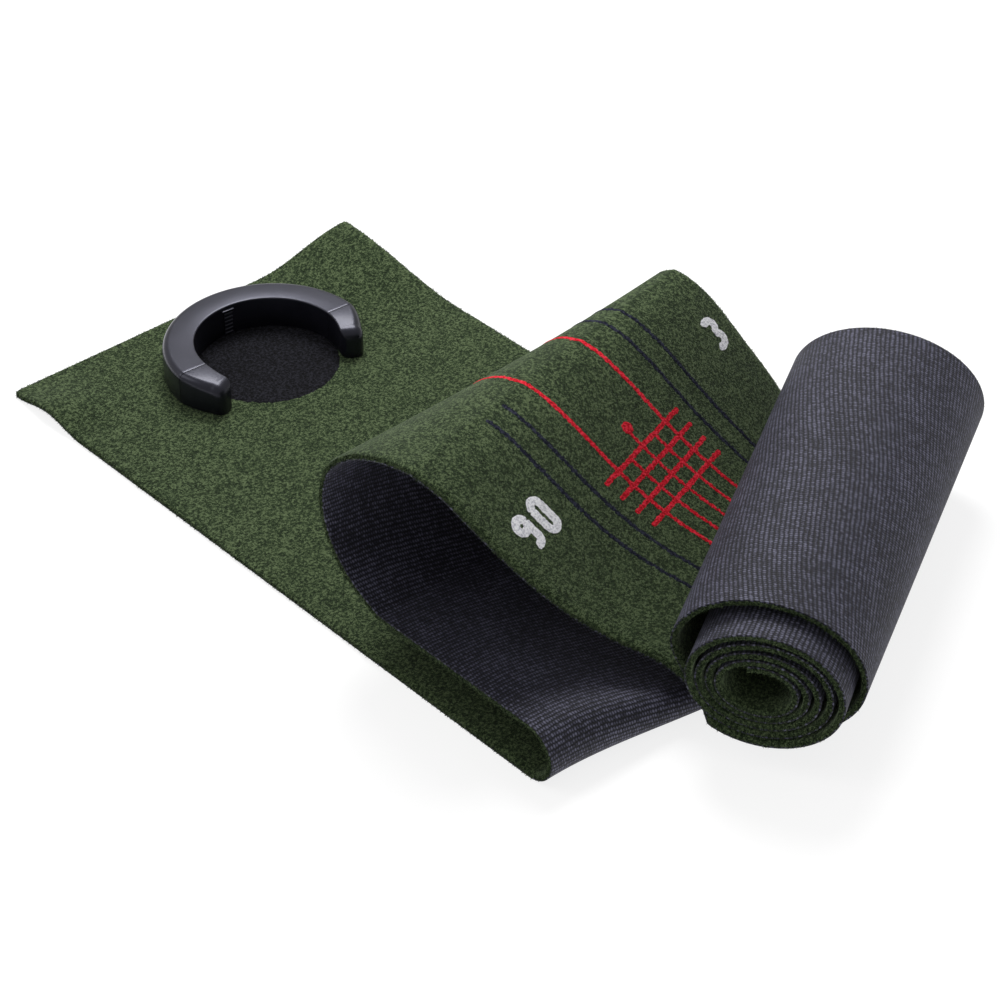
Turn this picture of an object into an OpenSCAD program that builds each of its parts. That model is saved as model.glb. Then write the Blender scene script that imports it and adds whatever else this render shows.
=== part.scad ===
// Practice putting mat: a pile strip with a rubber-knit backing, folded once over itself and
// rolled up at one end, with a C-shaped putting cup standing on the free end.
// Millimetres, +Z up. X runs along the mat from the free end towards the roll, Y across it.
// The origin is on the floor, on the mat's centreline, in the middle of the flat base panel.

/* [Mat] */
// Width of the mat
mat_w = 300; // [240:5:400]
// Thickness of the green pile layer
pile_t = 3.4; // [2:0.1:4.2]
// Thickness of the knitted backing layer
backing_t = 1.2; // [0.8:0.1:1.5]
// Length of the free end, from its cut edge to the line where it lifts
free_len = 300; // [260:5:400]
// From the lifting line forward to the origin
base_back = 110; // [110:5:160]
// From the origin to the start of the fold, at the near edge
base_front = 116; // [90:2:130]

/* [Fold] */
// Outer radius of the fold at the near edge, where it stands open
fold_r_near = 20.5; // [14:0.5:24]
// Space inside the fold at the far edge, where the roll presses it flat
fold_gap_far = 2.4; // [1:0.1:12]
// How much further along X the fold reaches at the far edge than at the near edge
fold_skew = 30; // [0:1:36]

/* [Free end] */
// Height that the far corner of the cut edge curls up
corner_curl = 16; // [0:1:30]
// Height of the small ripple on the near edge
edge_ripple = 6; // [0:0.5:10]

/* [Roll] */
// Space between the pressed fold and the roll that lies across it
roll_gap = 0.4; // [0.4:0.1:10]
// Where the roll's near end stands along X
roll_x = 189; // [180:2:220]
// Where the roll's near end stands along Y, from the mat's near edge
roll_in = 122; // [110:5:140]
// How far the roll's axis is turned from the mat's width, in degrees
roll_turn = 29; // [26:0.5:32]
// Half width of the loose outer turn
loose_rx = 60; // [58:1:70]
// Half height of the loose outer turn
loose_rz = 48; // [48:1:58]
// How much wider the loose turn is at the far end, where it has sprung open
loose_flare = 10; // [0:1:14]
// Space beside the tight coil, from its flank to the inside of the loose turn
coil_beside = 3.4; // [0.4:0.1:12]
// Space above the tight coil, from its top to the inside of the loose turn
coil_above = 0.4; // [0.4:0.1:8]
// How far the tight coil stands out of the loose turn at the near end
coil_proud = 22; // [0:1:60]
// Half width of the open core of the coil
core_rx = 17; // [12:1:24]
// Half height of the open core of the coil
core_rz = 12; // [9:1:18]
// How far the core sits to the left of the coil's middle
core_left = 3; // [0:0.5:4]
// How far the core sits below the coil's middle
core_drop = 3; // [0:0.5:4]
// Space between one turn of the coil and the next, where they lie closest
turn_gap = 0.35; // [0.2:0.05:1]

/* [Hole and cup] */
// From the cut edge of the free end to the middle of the hole spot
hole_in = 89; // [84:1:130]
// Radius of the black hole spot printed on the pile
hole_r = 51; // [45:1:56]
// How far the cup stands from the middle of the spot along X
cup_ahead = 6; // [0:1:8]
// How far the cup stands from the middle of the spot towards the near edge
cup_aside = 3; // [0:1:6]
// Inner radius of the cup
cup_r = 51.5; // [48:0.5:60]
// Width of the cup's wall, seen from above
cup_w = 22.5; // [16:0.5:30]
// How far the cup is turned clockwise, seen from above, in degrees
cup_turn = 4; // [-10:1:10]
// Height of the cup
cup_h = 24; // [16:1:32]
// Wall of the hollow cup moulding
cup_wall = 2.6; // [1.8:0.2:4]
// Rounding of the cup's outer top edge
cup_edge = 5; // [2:0.5:8]
// Angle that each arm tip runs on past the half ring, in degrees
tip_arc = 28; // [16:1:40]
// Width of an arm tip at its nose
tip_w = 15; // [10:1:23]
// Height of an arm tip at its nose
tip_h = 18; // [12:1:24]
// Width of the ribbed strip inside the back of the cup
strip_w = 7; // [5:0.5:12]
// How far the ribs stand out of the cup's inner wall
strip_out = 1.8; // [1:0.1:3]
// Number of ribs on the strip
strip_ribs = 6; // [3:1:9]

/* [Markings] */
// Distance between neighbouring red lines of the grid
grid_pitch = 15.9; // [12:0.1:20]
// Width of a red line
red_w = 3; // [2:0.2:5]
// Width of a dark line
dark_w = 2.4; // [1.5:0.1:4]
// Distance of the outer dark lines from the middle line of the grid
dark_out = 79; // [74:1:95]
// Distance of the inner dark lines from the middle line of the grid
dark_in = 59; // [50:1:68]
// Height of the numerals
numeral_h = 27; // [20:1:32]
// Stroke of the numerals
numeral_stroke = 5; // [4:0.5:5.5]

/* [Hidden] */

half_w = mat_w / 2;
mat_t = pile_t + backing_t;
near_y = -half_w;
far_y = half_w;
clear = 0.35;                      // space left between pieces that can move apart
fold_r_far = mat_t + fold_gap_far / 2;   // outer radius of the fold at the far edge
roll_z = 2 * fold_r_far + roll_gap;      // the roll's underside above the floor
print_lift = 0.3;                  // printed marks stand this far off the faceted pile
print_t = 0.4;                     // and are this thick
across = 12;                       // strips across the width of the sheet
pile_green = [0.22, 0.31, 0.18];
print_white = [0.85, 0.85, 0.88];
print_black = [0.1, 0.1, 0.11];
print_red = [0.82, 0.12, 0.17];
print_navy = [0.13, 0.14, 0.22];
backing_grey = [0.26, 0.26, 0.31];
cup_black = [0.13, 0.13, 0.15];

// ---------------------------------------------------------------- helpers
function mix(a, b, k) = a + (b - a) * k;
function clamp01(k) = min(1, max(0, k));
function smooth(k) = clamp01(k) * clamp01(k) * (3 - 2 * clamp01(k));
function unit(v) = v / norm(v);
function swell(k) = k >= 1 ? 0 : 0.5 + 0.5 * cos(180 * k);   // 1 at 0, easing to 0 at 1
function spline_at(a, b, c, d, k) = 0.5 * (2 * b + (c - a) * k
    + (2 * a - 5 * b + 4 * c - d) * k * k + (3 * b - a - 3 * c + d) * k * k * k);
// A smooth line through a list of points, steps rows to each stretch, first point left out
function spline(p, steps) = [for (i = [0 : len(p) - 2]) for (j = [1 : steps])
    spline_at(p[max(0, i - 1)], p[i], p[i + 1], p[min(len(p) - 1, i + 2)], j / steps)];

// ---------------------------------------------------------------- the sheet
// The sheet is a list of rows. A row is [point at the near edge, point at the far edge, press],
// on the backing side. press is 1 where the roll presses the fold flat and 0 elsewhere.
cut_x = -base_back - free_len;
lift_x = -base_back;
fold_near_x = base_front;
fold_far_x = base_front + fold_skew;
fold_near_z = 2 * fold_r_near;
fold_far_z = 2 * fold_r_far;

// The far edge of the arch and of the top panel follows the far end of the roll
ca = cos(roll_turn);
sa = sin(roll_turn);
roll_y = near_y + roll_in;
function roll_point(e, s, z) = [roll_x + e * ca - s * sa, roll_y + e * sa + s * ca, z];
roll_far = roll_point(0, mat_w, roll_z);
// A place on that edge: a distance along X from the roll's far end, and a share of the way to it in Y
function far_edge(x, share, z) = [roll_far[0] + x, mix(far_y, roll_far[1], share), z];

free_rows = [for (i = [0 : 14]) let (x = mix(cut_x, lift_x, i / 14))
    [[x, near_y, 0], [x, far_y, 0], 0]];
base_rows = [for (i = [1 : 6]) let (k = i / 6)
    [[mix(lift_x, fold_near_x, k), near_y, 0], [mix(lift_x, fold_far_x, k), far_y, 0], k]];
fold_rows = [for (i = [1 : 10]) let (a = 180 * i / 10) [
    [fold_near_x + fold_r_near * sin(a), near_y, fold_r_near * (1 - cos(a))],
    [fold_far_x + fold_r_far * sin(a), far_y, fold_r_far * (1 - cos(a))], 1]];
arch_start_near = [-18, near_y, fold_near_z];
arch_start_far = far_edge(-88.6, 0, fold_far_z);
pressed_back = 0.35;                // share of the back panel that the roll holds down
back_rows = [for (i = [1 : 8]) let (k = i / 8) [
    mix([fold_near_x, near_y, fold_near_z], arch_start_near, k),
    mix([fold_far_x, far_y, fold_far_z], arch_start_far, k),
    1 - smooth((k - pressed_back) / (1 - pressed_back))]];

// The arch rises from the back panel, leans left and comes over to its crest
arch_near = [arch_start_near, [-43, near_y, 54], [-60, near_y, 73], [-67, near_y, 97],
    [-61, near_y, 124], [-40, near_y, 145], [-13, near_y, 158], [12, near_y + 2, 162]];
arch_far = [arch_start_far, far_edge(-109.6, 0, 23), far_edge(-124.6, 0, 44),
    far_edge(-131.6, 0, 69), far_edge(-130.6, 0, 95), far_edge(-127.6, 0, 113),
    far_edge(-121.6, 0.01, 126), far_edge(-113.6, 0.04, 131)];
// From the crest the sheet comes down, turns to face the roll and runs in under it
top_near = [arch_near[7], [32, near_y + 8, 153], [51, near_y + 20, 130], [70, near_y + 38, 100],
    [87, near_y + 59, 72], [106, near_y + 79, 52], [128, near_y + 97, 38],
    roll_point(-44, 5, roll_z + 13), roll_point(-24, 0, roll_z + 3.5), roll_point(-9, 0, roll_z),
    roll_point(0, 0, roll_z)];
top_far = [arch_far[7], far_edge(-105.6, 0.07, 128), far_edge(-96.6, 0.17, 117),
    far_edge(-86.6, 0.28, 98), far_edge(-76.6, 0.41, 76), far_edge(-66.6, 0.54, 54),
    far_edge(-56.6, 0.64, 36),
    roll_point(-38, mat_w, roll_z + 9.5), roll_point(-24, mat_w, roll_z + 3),
    roll_point(-9, mat_w, roll_z), roll_point(0, mat_w, roll_z)];

function paired(near, far, steps) = let (n = spline(near, steps), f = spline(far, steps))
    [for (i = [0 : len(n) - 1]) [n[i], f[i], 0]];
arch_rows = paired(arch_near, arch_far, 3);
top_rows = paired(top_near, top_far, 2);
past_end = [roll_point(9, 0, roll_z), roll_point(9, mat_w, roll_z), 0];
rows = concat(free_rows, base_rows, fold_rows, back_rows, arch_rows, top_rows, [past_end]);

free_first = 0;
base_first = len(free_rows) - 1;
fold_first = base_first + len(base_rows);
back_first = fold_first + len(fold_rows);
arch_first = back_first + len(back_rows);
top_first = arch_first + len(arch_rows);
top_last = top_first + len(top_rows);

// The free end isn't flat: its far corner curls up and its near edge has a ripple
curl_along = 130;
curl_in = 85;
ripple_along = 76;
ripple_in = 60;
function free_lift(x, v) = let (a = x - cut_x, from_far = (1 - v) * mat_w, from_near = v * mat_w)
    a > curl_along ? 0
    : corner_curl * swell(a / curl_along) * swell(from_far / curl_in)
    + (a < ripple_along ? edge_ripple * pow(sin(180 * a / ripple_along), 2)
        * swell(from_near / ripple_in) : 0);

// Where the roll lies, the fold is pressed flat from this share of the width on
pressed_from = 0.57;
function press(v) = smooth(v / pressed_from);
function sheet_base(i, v) = let (r = rows[i], k = mix(v, press(v), r[2]),
        x = mix(r[0][0], r[1][0], k), y = mix(r[0][1], r[1][1], v), z = mix(r[0][2], r[1][2], k))
    [x, y, z + (i <= base_first ? free_lift(x, v) : 0)];
function sheet_normal(i, v) = unit(cross(
    sheet_base(min(i + 1, len(rows) - 1), v) - sheet_base(max(i - 1, 0), v),
    sheet_base(i, min(1, v + 0.02)) - sheet_base(i, max(0, v - 0.02))));
function sheet_point(i, v, h) = sheet_base(i, v) + h * sheet_normal(i, v);
// The same, at any place between two rows
function sheet_between(t, v, h) = let (i = min(floor(t), len(rows) - 2))
    mix(sheet_point(i, v, h), sheet_point(i + 1, v, h), t - i);

// A closed solid over the rows i0 to i1 and the shares v0 to v1 of the width, between two heights
module layer(i0, i1, h0, h1, v0 = 0, v1 = 1, nv = across) {
    points = [for (h = [h0, h1]) for (i = [i0 : i1]) for (j = [0 : nv])
        sheet_point(i, mix(v0, v1, j / nv), h)];
    slab(points, i1 - i0, nv);
}

// Faces of a slab whose points are two grids of (ni + 1) by (nj + 1), the lower one first
module slab(points, ni, nj) {
    w = nj + 1;
    low = (ni + 1) * w;
    function at(i, j, side) = side * low + i * w + j;
    top = [for (i = [0 : ni - 1]) for (j = [0 : nj - 1]) for (f = [
        [at(i, j, 1), at(i, j + 1, 1), at(i + 1, j, 1)],
        [at(i, j + 1, 1), at(i + 1, j + 1, 1), at(i + 1, j, 1)]]) f];
    under = [for (i = [0 : ni - 1]) for (j = [0 : nj - 1]) for (f = [
        [at(i, j, 0), at(i + 1, j, 0), at(i, j + 1, 0)],
        [at(i, j + 1, 0), at(i + 1, j, 0), at(i + 1, j + 1, 0)]]) f];
    sides = [for (i = [0 : ni - 1]) for (f = [
        [at(i, 0, 0), at(i, 0, 1), at(i + 1, 0, 1)], [at(i, 0, 0), at(i + 1, 0, 1), at(i + 1, 0, 0)],
        [at(i, nj, 1), at(i, nj, 0), at(i + 1, nj, 0)],
        [at(i, nj, 1), at(i + 1, nj, 0), at(i + 1, nj, 1)]]) f];
    ends = [for (j = [0 : nj - 1]) for (f = [
        [at(0, j, 0), at(0, j + 1, 0), at(0, j + 1, 1)], [at(0, j, 0), at(0, j + 1, 1), at(0, j, 1)],
        [at(ni, j, 0), at(ni, j + 1, 1), at(ni, j + 1, 0)],
        [at(ni, j, 0), at(ni, j, 1), at(ni, j + 1, 1)]]) f];
    polyhedron(points = points, faces = concat(top, under, sides, ends), convexity = 8);
}

module backing(i0, i1) { color(backing_grey) layer(i0, i1, 0, backing_t); }
module pile(i0, i1) { color(pile_green) layer(i0, i1, backing_t, mat_t); }

module free_end_backing() { backing(free_first, base_first); }
module free_end_pile() { pile(free_first, base_first); }
module base_backing() { backing(base_first, fold_first); }
module base_pile() { pile(base_first, fold_first); }
module fold_backing() { backing(fold_first, back_first); }
module fold_pile() { pile(fold_first, back_first); }
module back_panel_backing() { backing(back_first, arch_first); }
module back_panel_pile() { pile(back_first, arch_first); }
module arch_backing() { backing(arch_first, top_first); }
module arch_pile() { pile(arch_first, top_first); }
module top_panel_backing() { backing(top_first, top_last); }
module top_panel_pile() { pile(top_first, top_last); }

// ---------------------------------------------------------------- the roll
// Seen along its axis, e runs away from the fold and z up. The loose turn starts under the roll,
// goes up its right side, over the top and down the left, where it closes onto the tight coil.
loose_z = roll_z + loose_rz;
coil_rx = loose_rx - mat_t - coil_beside;
coil_rz = loose_rz - mat_t - coil_above;
coil_e = coil_beside - 0.4;         // the coil lies against the right side of the loose turn
coil_z = roll_z + mat_t + clear + coil_rz;
loose_end = 207;
closing_from = 165;
function oval(e, z, rx, rz, a) = [e + rx * cos(a), z + rz * sin(a)];
function loose_line(a, inset, flare) = let (
        free = oval(flare / 2, loose_z, loose_rx + flare / 2 - inset, loose_rz - inset, a),
        held = oval(coil_e, coil_z, coil_rx + clear + mat_t - inset,
            coil_rz + clear + mat_t - inset, a),
        start = [0, roll_z + inset])
    mix(mix(start, free, smooth((a + 90) / start_arc)), held,
        smooth((a - closing_from) / (loose_end - closing_from)));
loose_steps = 72;
start_arc = 30;
function loose_angle(i) = mix(-90, loose_end, i / loose_steps);
module loose_turn(outer, inner) {
    points = [for (inset = [outer, inner]) for (i = [0 : loose_steps]) for (j = [0, 1])
        let (p = loose_line(loose_angle(i), inset, j * loose_flare)) roll_point(p[0], j * mat_w, p[1])];
    slab(points, loose_steps, 1);
}
module along_roll(proud) {
    translate([roll_x, roll_y, 0]) rotate([0, 0, roll_turn]) translate([0, -proud, 0])
        rotate([90, 0, 0]) mirror([0, 0, 1]) linear_extrude(mat_w) children();
}
module loose_turn_backing() { color(backing_grey) loose_turn(0, backing_t); }
module loose_turn_pile() { color(pile_green) loose_turn(backing_t, mat_t); }

// The tight coil is one sheet wound inwards from the loose turn's end to the open core
turn_pitch = mat_t + turn_gap;
coil_room = min(coil_rz - core_rz - core_drop, coil_rx - core_rx - core_left) - mat_t;
coil_turns = coil_room / turn_pitch;
coil_steps = round(coil_turns * 28);
function coil_line(i, inset) = let (k = i / coil_steps, a = loose_end + 4 + 360 * coil_turns * k)
    oval(coil_e - core_left * k, coil_z - core_drop * k, mix(coil_rx, core_rx + mat_t, k) - inset,
        mix(coil_rz, core_rz + mat_t, k) - inset, a);
module coil(outer, inner) {
    along_roll(coil_proud) polygon(concat(
        [for (i = [0 : coil_steps]) coil_line(i, outer)],
        [for (i = [coil_steps : -1 : 0]) coil_line(i, inner)]));
}
module coil_backing() { color(backing_grey) coil(0, backing_t); }
module coil_pile() { color(pile_green) coil(backing_t, mat_t); }

// ---------------------------------------------------------------- printed marks
mark_low = mat_t + print_lift;
mark_high = mark_low + print_t;
function share(y) = 0.5 + y / mat_w;

// A strip along the sheet between two row places, its middle at distance y from the centreline
module long_line(t0, t1, y, w) {
    places = concat([t0], [for (t = [floor(t0) + 1 : ceil(t1) - 1]) t], [t1]);
    points = [for (h = [mark_low, mark_high]) for (t = places) for (j = [0, 1])
        sheet_between(t, share(y + (j - 0.5) * w), h)];
    slab(points, len(places) - 1, 1);
}
// A strip across the sheet, for line k of the grid, a little thicker than the lines it crosses
cross_proud = 0.12;
module cross_line(k, y0, y1, w) {
    n = 8;
    points = [for (h = [mark_low - cross_proud, mark_high + cross_proud]) for (i = [0, 1])
        for (j = [0 : n])
        let (y = mix(y0, y1, j / n))
        sheet_between(grid_row(k, y) + (i - 0.5) * w / row_step, share(y), h)];
    slab(points, 1, n);
}
row_step = 16;                      // length of sheet from row to row, halfway down the top panel
// The rows of the top panel fan out towards the far edge, so a straight line crosses them aslant
row_fan = 0.0045;
row_fan_growth = 0.001;
function grid_row(k, y) = grid_first + (y - grid_y) * row_fan
    + k * (grid_pitch / row_step) * (0.96 + (y - grid_y) * row_fan_growth);
red_start = top_first - 9;
dark_start_near = top_first;
dark_start_far = top_first - 4;
marks_end = top_first + 14;
grid_first = top_first + 6.13;
grid_y = -1.8;                      // the grid's middle line lies this far from the centreline
grid_over = 16;                     // the cross lines run on past the outer red lines
dot_r = 4;
dot_t = grid_first - 1;
module dot(t, y, r) {
    n = 20;
    lofted([for (h = [mark_low, mark_high]) [for (i = [0 : n - 1])
        sheet_between(t + r * sin(360 * i / n) / row_step, share(y + r * cos(360 * i / n)), h)]]);
}
module red_lines() {
    color(print_red) {
        for (side = [-1, 1])
            long_line(red_start, marks_end, grid_y + side * 2 * grid_pitch, red_w);
        for (k = [-1 : 1]) long_line(grid_first, marks_end, grid_y + k * grid_pitch, red_w);
        for (k = [0 : 3]) cross_line(k, grid_y - 2 * grid_pitch - grid_over,
            grid_y + 2 * grid_pitch + grid_over, red_w);
        long_line(dot_t + dot_r / row_step, grid_first, grid_y, red_w);
    }
}
module red_dot() { color(print_red) dot(dot_t, grid_y, dot_r); }
module dark_lines() {
    color(print_navy) for (y = [dark_in, dark_out]) {
        long_line(dark_start_near, marks_end, grid_y - y, dark_w);
        long_line(dark_start_far, marks_end, grid_y + y, dark_w);
    }
}

// Numerals are flat plates on the nearly flat middle of the top panel. Their feet face the roll.
numeral_lift = 0.9;
numeral_t = top_first + 5;
ninety_y = -114.5;
digit_half = 9.6;                   // half the distance between the two digits
three_y = 125;
bold = numeral_stroke / 2;
digit_r = 5;
digit_up = numeral_h / 2 - digit_r - bold;
module on_sheet(t, y) {
    place = sheet_between(t, share(y), mat_t + numeral_lift);
    right = unit(sheet_between(t, share(y + 10), mat_t) - sheet_between(t, share(y - 10), mat_t));
    back = sheet_between(t - 0.8, share(y), mat_t) - sheet_between(t + 0.8, share(y), mat_t);
    out = unit(cross(right, back));
    up = cross(out, right);
    multmatrix([for (i = [0 : 2]) [right[i], up[i], out[i], place[i]]]) linear_extrude(print_t)
        children();
}
module ring_2d(r) {
    difference() {
        circle(r + bold, $fn = 40);
        circle(r - bold, $fn = 24);
    }
}
// A digit 0: two half rings joined by straight sides
module zero_2d() {
    difference() {
        union() {
            for (side = [-1, 1]) translate([0, side * digit_up]) circle(digit_r + bold, $fn = 40);
            square([2 * (digit_r + bold), 2 * digit_up], center = true);
        }
        for (side = [-1, 1]) translate([0, side * digit_up]) circle(digit_r - bold, $fn = 24);
        square([2 * (digit_r - bold), 2 * digit_up], center = true);
    }
}
module nine_2d() {
    translate([0, digit_up]) ring_2d(digit_r);
    translate([digit_r - bold, 0]) square([2 * bold, digit_up]);
    difference() {
        translate([0, -digit_up]) ring_2d(digit_r);
        translate([-2 * digit_r, -digit_up]) square([2 * digit_r, 4 * digit_r]);
    }
    translate([digit_r - bold, -digit_up]) square([2 * bold, digit_up]);
}
module three_2d() {
    for (side = [-1, 1]) difference() {
        translate([0, side * (digit_r + 0.1)]) ring_2d(digit_r);
        translate([-2 * digit_r, side * (digit_r + 0.1) - digit_r / 2])
            square([2 * digit_r - 1, digit_r]);
    }
}
module numeral_ninety() {
    color(print_white) {
        on_sheet(numeral_t, ninety_y - digit_half) nine_2d();
        on_sheet(numeral_t, ninety_y + digit_half) zero_2d();
    }
}
module numeral_three() { color(print_white) on_sheet(numeral_t, three_y) three_2d(); }

// ---------------------------------------------------------------- hole spot and cup
hole_x = cut_x + hole_in;
spot_t = 0.2;                       // the spot is dyed flat into the pile, so it is thinner than a line
cup_z = mat_t + spot_t + clear;
inner_bevel = 1;
edge_steps = 6;
module at_cup() {
    translate([hole_x + cup_ahead, 0, cup_z]) rotate([0, 0, -cup_turn]) children();
}
module hole_spot() {
    color(print_black) translate([hole_x, cup_aside, mat_t]) cylinder(h = spot_t, r = hole_r, $fn = 96);
}

// Outline of the cup's wall in radius and height, open side inwards, rounded on the outside
function wall_outline(w, h, edge) = concat(
    [[cup_r, 0], [cup_r + w, 0]],
    [for (i = [0 : edge_steps]) let (a = 90 * i / edge_steps)
        [cup_r + w - edge * (1 - cos(a)), h - edge * (1 - sin(a))]],
    [[cup_r + inner_bevel, h], [cup_r, h - inner_bevel]]);

// The half ring is a moulding that is hollow from below, with a wall across each end
end_wall_arc = cup_wall / cup_r * 180 / PI;
peg_r = 2.4;
peg_len = 5;
peg_fit = 0.05;
peg_z = cup_h * 0.45;
peg_at = cup_r + cup_w / 2;
pocket_deep = 1;
strip_h = cup_h - 3.5;
strip_low = 1;
module at_peg_ends() {
    for (side = [-1, 1]) translate([0, side * peg_at, peg_z]) rotate([0, -90, 0]) children();
}
module cup_half_ring() {
    color(cup_black) at_cup() difference() {
        rotate([0, 0, 90]) rotate_extrude(angle = 180, $fn = 120)
            polygon(wall_outline(cup_w, cup_h, cup_edge));
        rotate([0, 0, 90 + end_wall_arc]) rotate_extrude(angle = 180 - 2 * end_wall_arc, $fn = 120)
            translate([cup_r + cup_wall, -1])
                square([cup_w - 2 * cup_wall, cup_h - cup_wall + 1]);
        at_peg_ends() translate([0, 0, -1]) cylinder(h = peg_len + 2, r = peg_r + peg_fit, $fn = 32);
        translate([-cup_r - pocket_deep, -strip_w / 2 - clear, strip_low - clear])
            cube([pocket_deep + cup_edge, strip_w + 2 * clear, strip_h + 2 * clear]);
    }
}

// An arm tip carries the ring on, narrows and drops, and ends in a rounded nose
tip_steps = 8;
nose_steps = 6;
nose_len = tip_w * 0.45;
nose_drop = 6;
function tip_width(k) = mix(cup_w, tip_w, k);
function tip_height(k) = mix(cup_h, tip_h, smooth(k));
nose_arc = nose_len / (cup_r + tip_w / 2) * 180 / PI;
function tip_section(a, w, h, edge, pull) = [for (p = wall_outline(w - 2 * pull, h, edge))
    [(p[0] + pull) * sin(a), (p[0] + pull) * cos(a), p[1]]];
function tip_sections() = concat(
    [for (i = [0 : tip_steps]) let (k = i / tip_steps)
        tip_section(k * (tip_arc - nose_arc), tip_width(k), tip_height(k), cup_edge, 0)],
    [for (i = [1 : nose_steps]) let (q = 85 * i / nose_steps, round_off = 1 - cos(q))
        tip_section(tip_arc - nose_arc * (1 - sin(q)), tip_w, tip_h - nose_drop * round_off,
            cup_edge * mix(1, 0.4, round_off), tip_w / 2 * 0.8 * round_off)]);
module lofted(sections) {
    n = len(sections[0]);
    m = len(sections) - 1;
    sides = [for (i = [0 : m - 1]) for (j = [0 : n - 1]) let (k = (j + 1) % n) for (f = [
        [i * n + j, (i + 1) * n + j, i * n + k], [i * n + k, (i + 1) * n + j, (i + 1) * n + k]]) f];
    start = [for (j = [0 : n - 1]) j];
    finish = [for (j = [n - 1 : -1 : 0]) m * n + j];
    polyhedron(points = [for (s = sections) for (p = s) p], faces = concat(sides, [start, finish]),
        convexity = 6);
}
module cup_tip() {
    union() {
        lofted(tip_sections());
        translate([0.5, peg_at, peg_z]) rotate([0, -90, 0])
            cylinder(h = peg_len + 0.5, r = peg_r, $fn = 32);
    }
}
module cup_tip_far() { color(cup_black) at_cup() cup_tip(); }
module cup_tip_near() { color(cup_black) at_cup() mirror([0, 1, 0]) cup_tip(); }

// The ribbed strip sits in a pocket in the middle of the cup's back wall
rib_h = 1.4;
bar_w = strip_w + 3;
bar_h = 1.6;
module cup_ribbed_strip() {
    color(cup_black) at_cup() translate([-cup_r, 0, strip_low]) {
        translate([-pocket_deep + 0.1, -strip_w / 2, 0])
            cube([pocket_deep + strip_out * 0.4, strip_w, strip_h]);
        for (i = [0 : strip_ribs - 1])
            translate([0, -strip_w / 2, (i + 0.5) * (strip_h - bar_h) / strip_ribs - rib_h / 2])
                cube([strip_out, strip_w, rib_h]);
        translate([clear, -bar_w / 2, strip_h - bar_h]) cube([strip_out, bar_w, bar_h]);
    }
}

free_end_backing();
free_end_pile();
hole_spot();
base_backing();
base_pile();
fold_backing();
fold_pile();
back_panel_backing();
back_panel_pile();
arch_backing();
arch_pile();
top_panel_backing();
top_panel_pile();
loose_turn_backing();
loose_turn_pile();
coil_backing();
coil_pile();
red_lines();
red_dot();
dark_lines();
numeral_ninety();
numeral_three();
cup_half_ring();
cup_tip_near();
cup_tip_far();
cup_ribbed_strip();
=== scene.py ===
# %% [markdown]
# # A practice putting mat
# The mat is a strip of short green pile bonded to a knitted backing. It lies folded over itself,
# its long end is rolled up, and a C-shaped cup stands on the free end. Every piece below is built
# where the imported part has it, in metres, so nothing has to be fitted afterwards.

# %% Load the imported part
import math

import bpy
import numpy as np
from mathutils import Matrix, Vector


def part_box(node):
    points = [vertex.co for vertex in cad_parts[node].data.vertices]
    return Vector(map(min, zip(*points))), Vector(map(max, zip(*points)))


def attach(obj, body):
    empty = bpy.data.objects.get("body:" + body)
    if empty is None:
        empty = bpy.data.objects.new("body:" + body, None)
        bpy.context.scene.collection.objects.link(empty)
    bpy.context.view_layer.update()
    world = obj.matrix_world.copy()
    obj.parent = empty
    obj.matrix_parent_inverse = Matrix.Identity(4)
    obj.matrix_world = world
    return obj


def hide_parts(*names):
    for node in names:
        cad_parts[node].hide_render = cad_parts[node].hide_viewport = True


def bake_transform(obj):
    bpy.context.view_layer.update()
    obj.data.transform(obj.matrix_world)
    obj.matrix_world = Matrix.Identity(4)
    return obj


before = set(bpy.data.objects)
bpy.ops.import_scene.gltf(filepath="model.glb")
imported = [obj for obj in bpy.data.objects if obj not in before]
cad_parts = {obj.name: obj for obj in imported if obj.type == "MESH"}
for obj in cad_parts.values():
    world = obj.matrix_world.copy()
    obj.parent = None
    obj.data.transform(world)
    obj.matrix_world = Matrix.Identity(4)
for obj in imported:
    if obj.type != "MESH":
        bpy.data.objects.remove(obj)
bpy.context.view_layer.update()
MM = 0.001

# %% [markdown]
# ## The camera
# A long lens from the near right, looking down at some 37 degrees, keeps the edges of the mat
# almost parallel. The camera comes first, because everything after it is judged through it.

# %% Camera
camera_data = bpy.data.cameras.new("camera")
camera_data.lens = 100.8
camera_data.sensor_width = 36
camera = bpy.data.objects.new("camera", camera_data)
camera.location = (1.0043, -0.9802, 1.1202)
look_at = Vector((-0.0908, 0.0161, 0.0035))
camera.rotation_mode = "QUATERNION"
camera.rotation_quaternion = (look_at - camera.location).to_track_quat("-Z", "Y")
bpy.context.scene.collection.objects.link(camera)
bpy.context.scene.camera = camera

# %% [markdown]
# ## The sheet as rows
# A bent strip is easiest to describe by its rows: straight lines across the mat, each with a near
# end and a far end. The rows follow the same plan as the solid part, only closer together, so that
# the cloth looks smooth. Heights are counted from the backing side, along the surface's normal.

# %% Sizes from the frame
backing_low, backing_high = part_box("base_backing")
_, pile_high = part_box("base_pile")
HALF_W = backing_high.y / MM
MAT_W = 2 * HALF_W
BACKING_T = backing_high.z / MM
MAT_T = pile_high.z / MM
LIFT_X = backing_low.x / MM
FREE_LEN = 300
CUT_X = round(LIFT_X - FREE_LEN)
NEAR_Y, FAR_Y = -HALF_W, HALF_W
print("mat", round(MAT_W), "mm wide,", round(MAT_T, 2), "mm thick, cut edge at", CUT_X)

# Shape of the fold, where the strip turns back over itself
FOLD_NEAR_X, FOLD_SKEW = 116.0, 30.0
FOLD_R_NEAR, FOLD_R_FAR = 20.5, 5.8
PRESSED_FROM, PRESSED_BACK = 0.57, 0.35
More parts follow.
